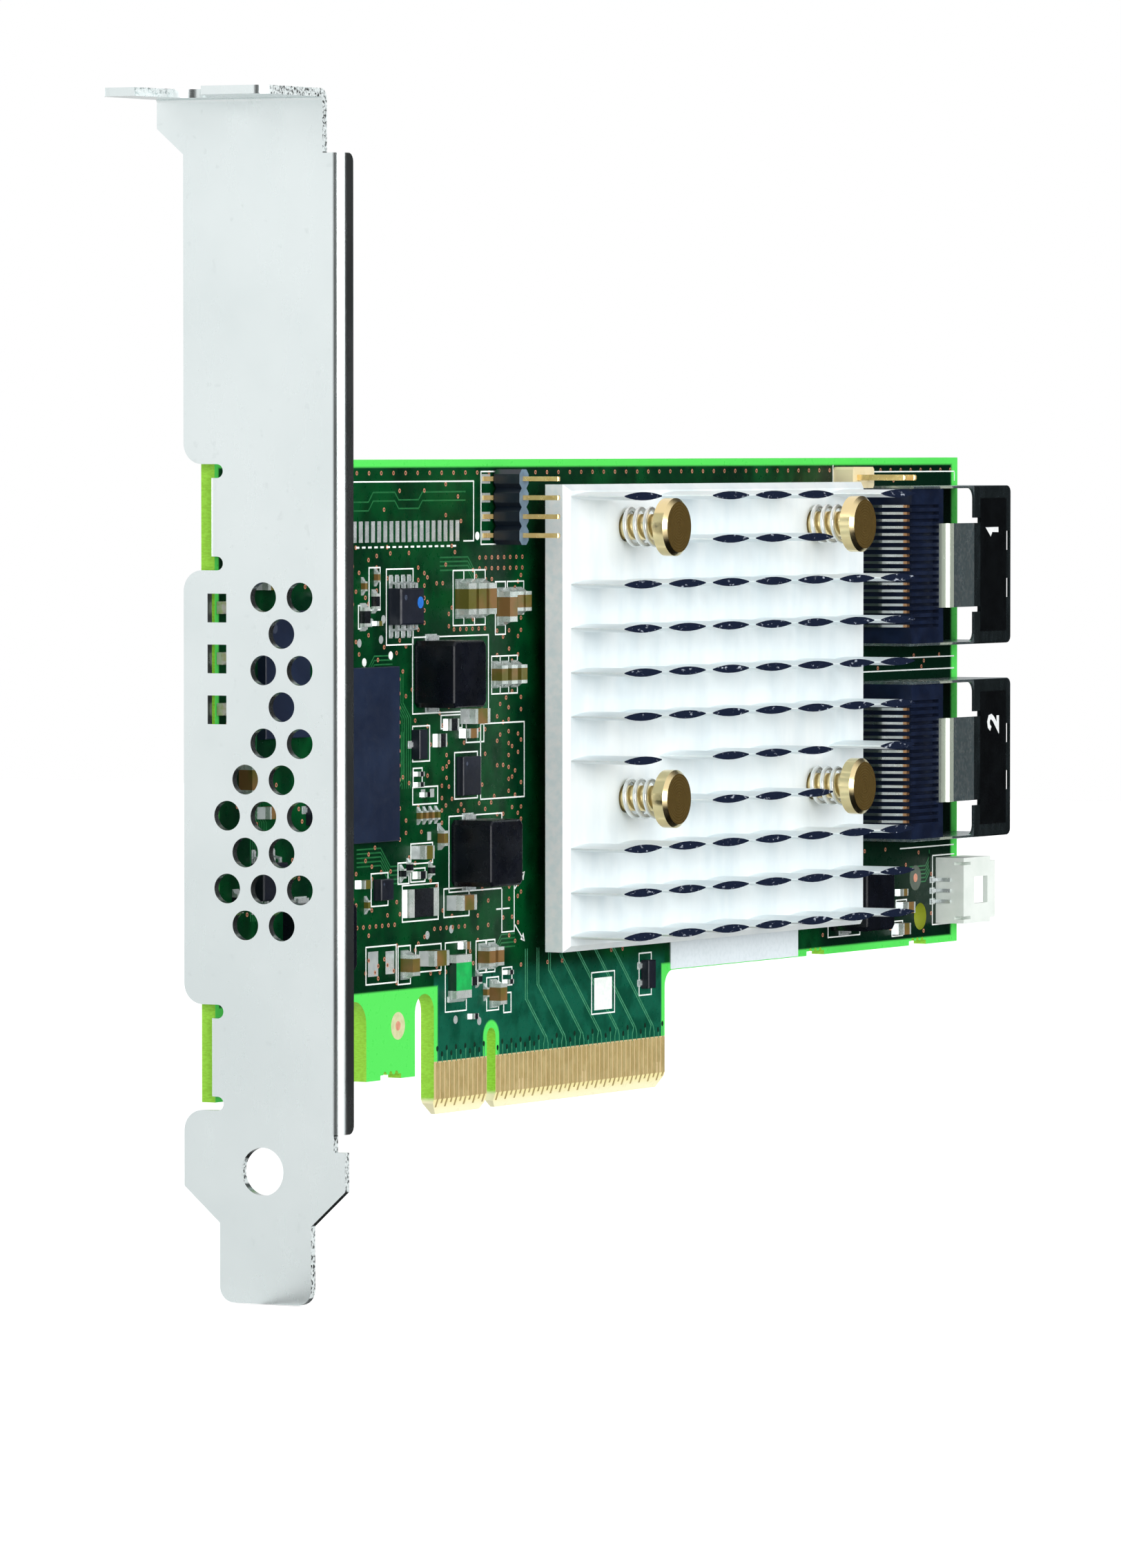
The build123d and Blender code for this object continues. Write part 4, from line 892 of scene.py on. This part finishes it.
def masked_traces():
    """Bundles of parallel traces that show as lighter lines under the mask."""
    green = ink_finish("masked trace", srgb(34, 112, 62), srgb(26, 96, 54), 0.32)
    front = Layer(TRACE_T)
    back = Layer(TRACE_T, BACK)
    for x, z, dx, dz, count, steps in TRACE_BUNDLES:
        reach = x + dx * count + max(a for a, _ in steps)
        shift = BACK_SHIFT if reach + BACK_SHIFT < BOARD_RIGHT - BACK_MARGIN else -BACK_SHIFT
        for i in range(count):
            start = (x + dx * i, z + dz * i)
            points = [start] + [(start[0] + a, start[1] + b) for a, b in steps]
            front.line(points, TRACE_W)
            back.line([(px + shift, pz) for px, pz in points], TRACE_W)
    front.done("masked_traces", green)
    back.done("back_traces", green)


SOLDER_OUT = 0.45
SOLDER_CLIMB = 0.55
TIED_NODES = ("capacitor_ends", "resistor_ends", "fuse_ends")
LEADED_NODES = ("clock_chip_leads", "transistor_leads", "inductor_terminals")
LEAD_MARGIN = 0.15
SIDE_PAD = 1.0
# Pads of the dark header: margins to the left and up and down, and the length
HEADER_MARGINS = (0.2, 0.25)
HEADER_PAD = 1.6
# Pads of the port leads, from the leads' left ends
PORT_PAD = (-0.4, 0.3)


def solder_joints():
    """A pad under each terminal and a fillet of solder against its end."""
    pads = Layer(PAD_MARK_T)
    bodies = [box_middle(b) for node in ("capacitors", "resistors", "fuse") for b in solid_boxes(node)]
    for node in TIED_NODES:
        for low, high in solid_boxes(node):
            middle = (low + high) / 2
            body = min(bodies, key=lambda b: (b - middle).length)
            rise = (-HALF_BOARD - low.y) * SOLDER_CLIMB
            if abs(middle.x - body.x) > abs(middle.z - body.z):
                if middle.x < body.x:
                    pads.wedge(low.x - SOLDER_OUT, low.z, low.x, high.z, rise, "right")
                else:
                    pads.wedge(high.x, low.z, high.x + SOLDER_OUT, high.z, rise, "left")
            elif middle.z < body.z:
                pads.wedge(low.x, low.z - SOLDER_OUT, high.x, low.z, rise, "up")
            else:
                pads.wedge(low.x, high.z, high.x, high.z + SOLDER_OUT, rise, "down")
    leads = [(low, high.x, high.z) for node in LEADED_NODES for low, high in solid_boxes(node)]
    leads += [(low, low.x + SIDE_PAD, high.z) for low, high in solid_boxes("side_connector_pins")]
    for low, right, top in leads:
        pads.bar(low.x - LEAD_MARGIN, low.z - LEAD_MARGIN, right + LEAD_MARGIN, top + LEAD_MARGIN)
    left, across = HEADER_MARGINS
    for low, high in solid_boxes("debug_header_pins"):
        pads.bar(low.x - left, low.z - across, low.x + HEADER_PAD, high.z + across)
    for low, high in solid_boxes("port_1_contacts") + solid_boxes("port_2_contacts"):
        pads.bar(low.x + PORT_PAD[0], low.z, low.x + PORT_PAD[1], high.z)
    for x, z in BIG_VIAS:
        pads.disc(x, z, DOT_R, 14)
    for x, z, width, height in BARE_PADS:
        pads.bar(x - width / 2, z - height / 2, x + width / 2, z + height / 2)
    finish = metal_finish("solder", srgb(232, 239, 237), 0.22, srgb(208, 219, 218), 1.8, 0.5, 0.8, 0.004)
    pads.done("solder_joints", finish)


# Bare tinned pads, as (x, z, width, height)
BARE_PADS = (
    (-25.1, 16.5, 2.1, 2.6),
    (-21.6, 16.5, 1.8, 2.4),
    (-14.6, 33.9, 0.9, 0.9),
    (-12.7, 33.9, 0.9, 0.9),
    (-13.3, 29.4, 0.8, 0.9),
    (-11.2, 30.3, 0.8, 0.8),
    (-10.9, 28.3, 0.8, 0.8),
    (-16.4, 25.4, 0.7, 0.8),
    (-15.0, 25.4, 0.7, 0.8),
    (-9.2, 12.0, 0.6, 0.6),
)
LIT_FIDUCIALS = ((-19.9, 9.8), (-53.2, 8.0))
# painted shade: this mark's laminate ring is painted darker than the lit ones
DARK_FIDUCIALS = ((99.95, 20.5),)
FIDUCIAL_R = 1.45
FIDUCIAL_DOT_R = 0.5


def fiducials():
    """Round alignment marks: a disc of laminate and a copper dot; the disc of the dark one is painted shade.
    """
    ring = Layer(MARK_T)
    dark_ring = Layer(MARK_T)
    dot = Layer(INK_T)
    for places, rings in ((LIT_FIDUCIALS, ring), (DARK_FIDUCIALS, dark_ring)):
        for x, z in places:
            rings.disc(x, z, FIDUCIAL_R, 32)
            dot.disc(x, z, FIDUCIAL_DOT_R, ROUND)
    # painted shade for the dark mark's laminate ring
    masked = ink_finish("shaded laminate", srgb(90, 100, 90), srgb(80, 92, 80), 0.4)
    dark_ring.done("dark_fiducial_ring", masked)
    bare = ink_finish("bare laminate", srgb(214, 214, 168), srgb(200, 202, 150), 0.5)
    ring.done("fiducial_rings", bare)
    copper = ink_finish("fiducial copper", srgb(226, 158, 132), srgb(206, 138, 112), 0.4)
    dot.done("fiducial_dots", copper)


PLATING_BAR_W = 0.34
# The heights at which the stubs end, in turn, and how much of each contact they cover
STUB_ENDS = (0.75, 1.15)
STUB_OVERLAP = 0.02


def plating_bars():
    """The stubs of the plating bars, from each contact down over the bevel."""
    mesh = bmesh.new()
    slope = BEVEL_DEPTH / BEVEL_TOP
    for low, high in solid_boxes("edge_contacts"):
        if low.y > 0:
            continue
        x = (low.x + high.x) / 2
        left, right = x - PLATING_BAR_W / 2, x + PLATING_BAR_W / 2
        stub = STUB_ENDS[round(x) % 2]
        end = (-HALF_BOARD + slope * (BEVEL_TOP - stub), stub)
        rows = []
        for y, z in ((-HALF_BOARD, low.z + STUB_OVERLAP), (-HALF_BOARD, BEVEL_TOP), end):
            corners = ((left, y), (right, y), (right, y - THICK_MARK), (left, y - THICK_MARK))
            rows.append([mesh.verts.new(Vector((cx, cy, z)) * MM) for cx, cy in corners])
        for upper, lower in zip(rows, rows[1:]):
            join_loops(mesh, upper, lower)
        mesh.faces.new(rows[0])
        mesh.faces.new(rows[-1])
    make_object("plating_bars", mesh, gold_finish("gold stub", 0.35, 0.5))


SPRING_TURNS = 3.5
SPRING_WIRE_R = 0.25
SPRING_STEPS = 30
SPRING_SIDES = 10


def springs():
    """Smooth round wire for the four springs, along the path of the CAD's own."""
    mesh = bmesh.new()
    for low, high in solid_boxes("pin_springs"):
        middle = (low + high) / 2
        radius = (high.x - low.x) / 2 - SPRING_WIRE_R
        start, end = high.y - SPRING_WIRE_R, low.y + SPRING_WIRE_R
        count = int(SPRING_TURNS * SPRING_STEPS)
        previous = None
        for step in range(count + 1):
            part = step / count
            turn = 2 * math.pi * SPRING_TURNS * part
            outward = Vector((math.cos(turn), 0, math.sin(turn)))
            centre = Vector((middle.x, start + (end - start) * part, middle.z)) + outward * radius
            around = [2 * math.pi * i / SPRING_SIDES for i in range(SPRING_SIDES)]
            offsets = [outward * math.cos(a) + Vector((0, 1, 0)) * math.sin(a) for a in around]
            loop = [mesh.verts.new((centre + o * SPRING_WIRE_R) * MM) for o in offsets]
            if previous:
                join_loops(mesh, previous, loop)
            else:
                mesh.faces.new(loop)
            previous = loop
        mesh.faces.new(previous)
    finish = metal_finish("spring wire", srgb(244, 246, 244), 0.18, srgb(226, 228, 224), 1.0, metallic=0.55)
    piece = make_object("spring_wire", mesh, finish, smooth=True)
    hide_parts("pin_springs")


# Digits as strokes, in a cell one unit high
DIGITS = {
    "1": (((0.08, 0.72), (0.3, 1.0), (0.3, 0.0)),),
    "2": (
        ((0.02, 0.76), (0.14, 0.95), (0.34, 1), (0.54, 0.9), (0.58, 0.7), (0.46, 0.48), (0.04, 0.03))
        + ((0.62, 0.03),),
    ),
}
DIGIT_MIDDLE = (0.3, 0.5)
DIGIT_HEIGHT = 2.5
DIGIT_STROKE = 0.6
DIGIT_RISE = 4.0


def port_digits():
    """A plain number on each port's label, read from below upwards."""
    ink = Layer(THICK_MARK, FRONT, node_box("port_1_label")[0].y)
    for number, strokes in DIGITS.items():
        middle = box_middle(node_box(f"port_{number}_label"))
        for stroke in strokes:
            away = [(DIGIT_MIDDLE[1] - v, u - DIGIT_MIDDLE[0]) for u, v in stroke]
            start = Vector((middle.x, middle.z + DIGIT_RISE))
            ink.line([start + Vector(a) * DIGIT_HEIGHT for a in away], DIGIT_STROKE)
    finish = ink_finish("label ink", srgb(240, 242, 242), srgb(226, 230, 230))
    ink.done("port_digits", finish)


# Moulded dimples: radius as a share of the chip's width, and place in radii from its corner
WIDEST_CHIP = 9.0
DIMPLE_SHARE = 0.06
DIMPLE_INSET = 3.2
# The dimple's rim, wall and middle, each as a share of the radius and a height
DIMPLE_PROFILE = ((1.0, 0.012), (0.75, 0.02), (0.0, 0.004))
# The paint dot on the eight-lead chip, from the middle of its right edge
PAINT_DOT_R = 0.62
PAINT_DOT_AWAY = (-0.9, 0.4)


def chip_marks():
    """Moulded pin-one dimples and the blue paint dot on the eight-lead chip."""
    dimples = bmesh.new()
    for node in ("memory_chips", "clock_chips", "power_chips"):
        for low, high in solid_boxes(node):
            radius = min(high.x - low.x, WIDEST_CHIP) * DIMPLE_SHARE
            centre = Vector((low.x + DIMPLE_INSET * radius, low.y, high.z - DIMPLE_INSET * radius))
            rings = []
            for part, rise in DIMPLE_PROFILE:
                turns = [2 * math.pi * i / ROUND for i in range(ROUND)]
                out = radius * part
                away = [Vector((out * math.cos(t), -rise, out * math.sin(t))) for t in turns]
                rings.append([dimples.verts.new((centre + a) * MM) for a in away])
            for outer, inner in zip(rings, rings[1:]):
                join_loops(dimples, outer, inner)
    finish = chip_finish("dimple", srgb(58, 66, 84), srgb(66, 74, 92), 0.3)
    make_object("chip_dimples", dimples, finish)
    low, high = solid_boxes("clock_chips")[-1]
    dot = Layer(THICK_MARK, FRONT, low.y)
    dot.disc(high.x + PAINT_DOT_AWAY[0], (low.z + high.z) / 2 + PAINT_DOT_AWAY[1], PAINT_DOT_R, ROUND)
    finish = ink_finish("blue paint", srgb(34, 120, 214), srgb(26, 104, 196), 0.4)
    dot.done("chip_paint_dot", finish)


FINISHES = {
    "board_laminate": board_finish,
    "gold_plating": lambda: gold_finish("matte gold", 0.35, 0.5),
    "plated_steel": bracket_finish,
    "screw_steel": lambda: metal_finish("screw steel", srgb(196, 200, 200), 0.28, srgb(160, 166, 168), 1.5),
    "chip_black": lambda: chip_finish("chip mould", srgb(18, 23, 35), srgb(26, 31, 45)),
    "chip_navy": lambda: chip_finish("memory mould", srgb(26, 36, 58), srgb(32, 44, 68), 0.34),
    "grey_pad": lambda: plastic_finish("thermal pad", srgb(150, 152, 156), 0.8, srgb(164, 166, 170)),
    "bright_aluminium": heatsink_finish,
    "turned_brass": brass_finish,
    "spring_steel": lambda: metal_finish("spring steel", srgb(222, 214, 196), 0.2, srgb(190, 180, 158), 1.0),
    "navy_plastic": lambda: plastic_finish("port plastic", srgb(12, 22, 44), 0.34, srgb(20, 32, 58)),
    "tinned_leads": lambda: metal_finish(
        "tinned lead", srgb(232, 238, 238), 0.24, srgb(196, 206, 206), 1.2, 0.5, 0.6, 0.003
    ),
    "cage_steel": cage_finish,
    "black_label": lambda: plastic_finish("label film", srgb(8, 10, 12), 0.14, srgb(13, 16, 18), 0.6, 0.003),
    "white_nylon": lambda: plastic_finish("white nylon", srgb(238, 245, 239), 0.4, srgb(228, 237, 230)),
    "black_nylon": lambda: lit_face_finish("black nylon", srgb(16, 27, 40), srgb(112, 136, 156)),
    "gold_pins": lambda: metal_finish(
        "gold post", srgb(255, 226, 158), 0.22, srgb(242, 206, 134), 1.0, 0.55, 0.3, 0.003
    ),
    "cream_nylon": lambda: plastic_finish("cream nylon", srgb(238, 226, 186), 0.45, srgb(228, 214, 170)),
    "ferrite_black": lambda: plastic_finish(
        "inductor mould", srgb(9, 12, 19), 0.28, srgb(16, 19, 28), 0.5, 0.015, specular_ior_level=0.35
    ),
    "ceramic_brown": ceramic_finish,
    "tinned_ends": lambda: metal_finish(
        "tinned end", srgb(234, 240, 236), 0.26, srgb(204, 217, 210), 1.4, 0.45, 0.6, 0.004
    ),
    "resistor_black": lambda: plastic_finish("resistor glaze", srgb(20, 22, 26), 0.25, srgb(30, 33, 38)),
    "fuse_green": lambda: lit_face_finish("fuse body", srgb(22, 62, 44), srgb(30, 190, 92)),
    "lamp_clear": lamp_finish,
    "white_paper": paper_finish,
    "port_leads": contact_finish,
}


def dress_nodes():
    """Gives each CAD node the finish of its material slot; the port leads get their own."""
    made = {}
    for name, node in frame["nodes"].items():
        old = node.data.materials[0].name.split(".")[0]
        key = "port_leads" if name in ("port_1_contacts", "port_2_contacts") else old
        if key not in made:
            made[key] = FINISHES[key]()
        node.data.materials[0] = made[key].material


AMBIENT = 0.54
REFLECTED = 1.0
# The unlit side of the studio: its direction, and the cosines between which the light fades there
DARK_SIDE = Vector((0.86, -0.5, -0.05)).normalized()
DARK_EDGE = (0.35, 0.8)
DARK_LEVEL = 0.012
# The narrow flag's direction from -X towards -Y, and how wide it is, in degrees
FLAG_TURN = 22.0
FLAG_HALF = 26.0
FLAG_SOFT = 7.0
FLAG_LEVEL = 0.02


def narrow_flag(t, direction):
    """A dark upright strip in the studio, which draws the dark line along the bracket's bend."""
    x, y, _ = t.parts(direction)
    turn = t.math("ARCTAN2", t.times(y, -1.0), t.times(x, -1.0))
    away = t.math("ABSOLUTE", t.minus(turn, math.radians(FLAG_TURN)))
    low, high = math.radians(FLAG_HALF - FLAG_SOFT), math.radians(FLAG_HALF + FLAG_SOFT)
    return t.span(away, low, high, FLAG_LEVEL, 1.0)


def shade(t, direction):
    """How bright the studio is in a direction: unlit right of the card's face, and at the flag."""
    _, towards = t.vector("DOT_PRODUCT", direction, DARK_SIDE)
    return t.times(t.span(towards, *DARK_EDGE, 1.0, DARK_LEVEL), narrow_flag(t, direction))


def seen_directly(t):
    """1 for rays from the camera and for those that a shiny or clear surface sends on."""
    path = t.nodes.new("ShaderNodeLightPath").outputs
    first = t.math("MAXIMUM", path["Is Camera Ray"], path["Is Glossy Ray"])
    return t.math("MAXIMUM", first, path["Is Transmission Ray"])


FLOOR_GAP = 0.0001
FLOOR_SIZE = 2.4
FLOOR_COLOUR = 0.8
FLOOR_SEEN = 0.62
FLOOR_REFLECTED = 0.12
# The point from which the floor's directions are taken, from the board's lower left corner
FLOOR_MIDDLE = Vector((-1.5, -6.0, 0))


def floor():
    """A pale floor that the camera sees as white, apart from the card's own shadow."""
    level = cad_box[0].z - FLOOR_GAP
    bpy.ops.mesh.primitive_plane_add(size=FLOOR_SIZE, location=(0, 0, level))
    plane = bpy.context.object
    plane.name = "floor"
    material = bpy.data.materials.new("floor")
    t = NodeTree(material)
    shader = t.nodes["Principled BSDF"]
    shader.inputs["Roughness"].default_value = 1.0
    shader.inputs["Specular IOR Level"].default_value = 0.0
    place = t.nodes.new("ShaderNodeTexCoord").outputs["Object"]
    middle = (BOARD_LOW + FLOOR_MIDDLE) * MM
    outward, _ = t.vector("NORMALIZE", t.vector("SUBTRACT", place, (middle.x, middle.y, 0))[0])
    reflected = shade(t, outward)
    path = t.nodes.new("ShaderNodeLightPath").outputs
    dimmed = t.times(reflected, FLOOR_COLOUR)
    t.feed(shader.inputs["Base Color"], t.span(path["Is Glossy Ray"], 0.0, 1.0, FLOOR_COLOUR, dimmed))
    glint = t.times(seen_directly(t), t.times(reflected, FLOOR_REFLECTED))
    shader.inputs["Emission Color"].default_value = (1, 1, 1, 1)
    t.feed(shader.inputs["Emission Strength"], t.span(path["Is Camera Ray"], 0.0, 1.0, glint, FLOOR_SEEN))
    plane.data.materials.append(material)


def world():
    """White all round, with the unlit side of the studio to the right of the card's face."""
    studio = bpy.data.worlds.new("studio")
    bpy.context.scene.world = studio
    t = NodeTree(studio)
    background = t.nodes["Background"]
    background.inputs["Color"].default_value = (1, 1, 1, 1)
    direction = t.nodes.new("ShaderNodeTexCoord").outputs["Generated"]
    reflected = t.times(shade(t, direction), REFLECTED)
    level = t.span(seen_directly(t), 0.0, 1.0, AMBIENT, reflected)
    camera_ray = t.nodes.new("ShaderNodeLightPath").outputs["Is Camera Ray"]
    t.feed(background.inputs["Strength"], t.math("MAXIMUM", level, camera_ray))


# Area lamps, as (name, place, size, power), all aimed at the middle of the card
LAMPS = (
    ("key lamp", (-0.8, -1.15, 0.2), 0.9, 13.0),
    ("fill lamp", (0.1, -1.3, 0.15), 1.0, 6.6),
    ("side lamp", (-1.3, 0.3, 0.8), 0.9, 4.0),
    ("rear lamp", (0.5, 1.25, 0.55), 1.0, 8.0),
)


def lamps():
    middle = (cad_box[0] + cad_box[1]) / 2
    for name, place, size, power in LAMPS:
        data = bpy.data.lights.new(name, "AREA")
        data.shape = "DISK"
        data.size = size
        data.energy = power
        lamp = bpy.data.objects.new(name, data)
        lamp.location = place
        lamp.rotation_euler = (middle - Vector(place)).to_track_quat("-Z", "Y").to_euler()
        bpy.context.scene.collection.objects.link(lamp)


def camera():
    data = bpy.data.cameras.new("camera")
    data.lens = CAMERA_LENS
    data.sensor_width = CAMERA_SENSOR
    eye = bpy.data.objects.new("camera", data)
    eye.location = CAMERA_PLACE
    yaw, pitch = math.radians(CAMERA_YAW), math.radians(CAMERA_PITCH)
    aim = Vector((math.sin(yaw) * math.cos(pitch), math.cos(yaw) * math.cos(pitch), -math.sin(pitch)))
    eye.rotation_euler = aim.to_track_quat("-Z", "Y").to_euler()
    bpy.context.scene.collection.objects.link(eye)
    bpy.context.scene.camera = eye


def build():
    dress_nodes()
    silkscreen()
    back_silkscreen()
    vias(via_places())
    tongue_traces()
    masked_traces()
    solder_joints()
    fiducials()
    plating_bars()
    springs()
    port_digits()
    chip_marks()
    floor()
    world()
    lamps()
    camera()
    bpy.context.scene.view_settings.view_transform = "Standard"


build()
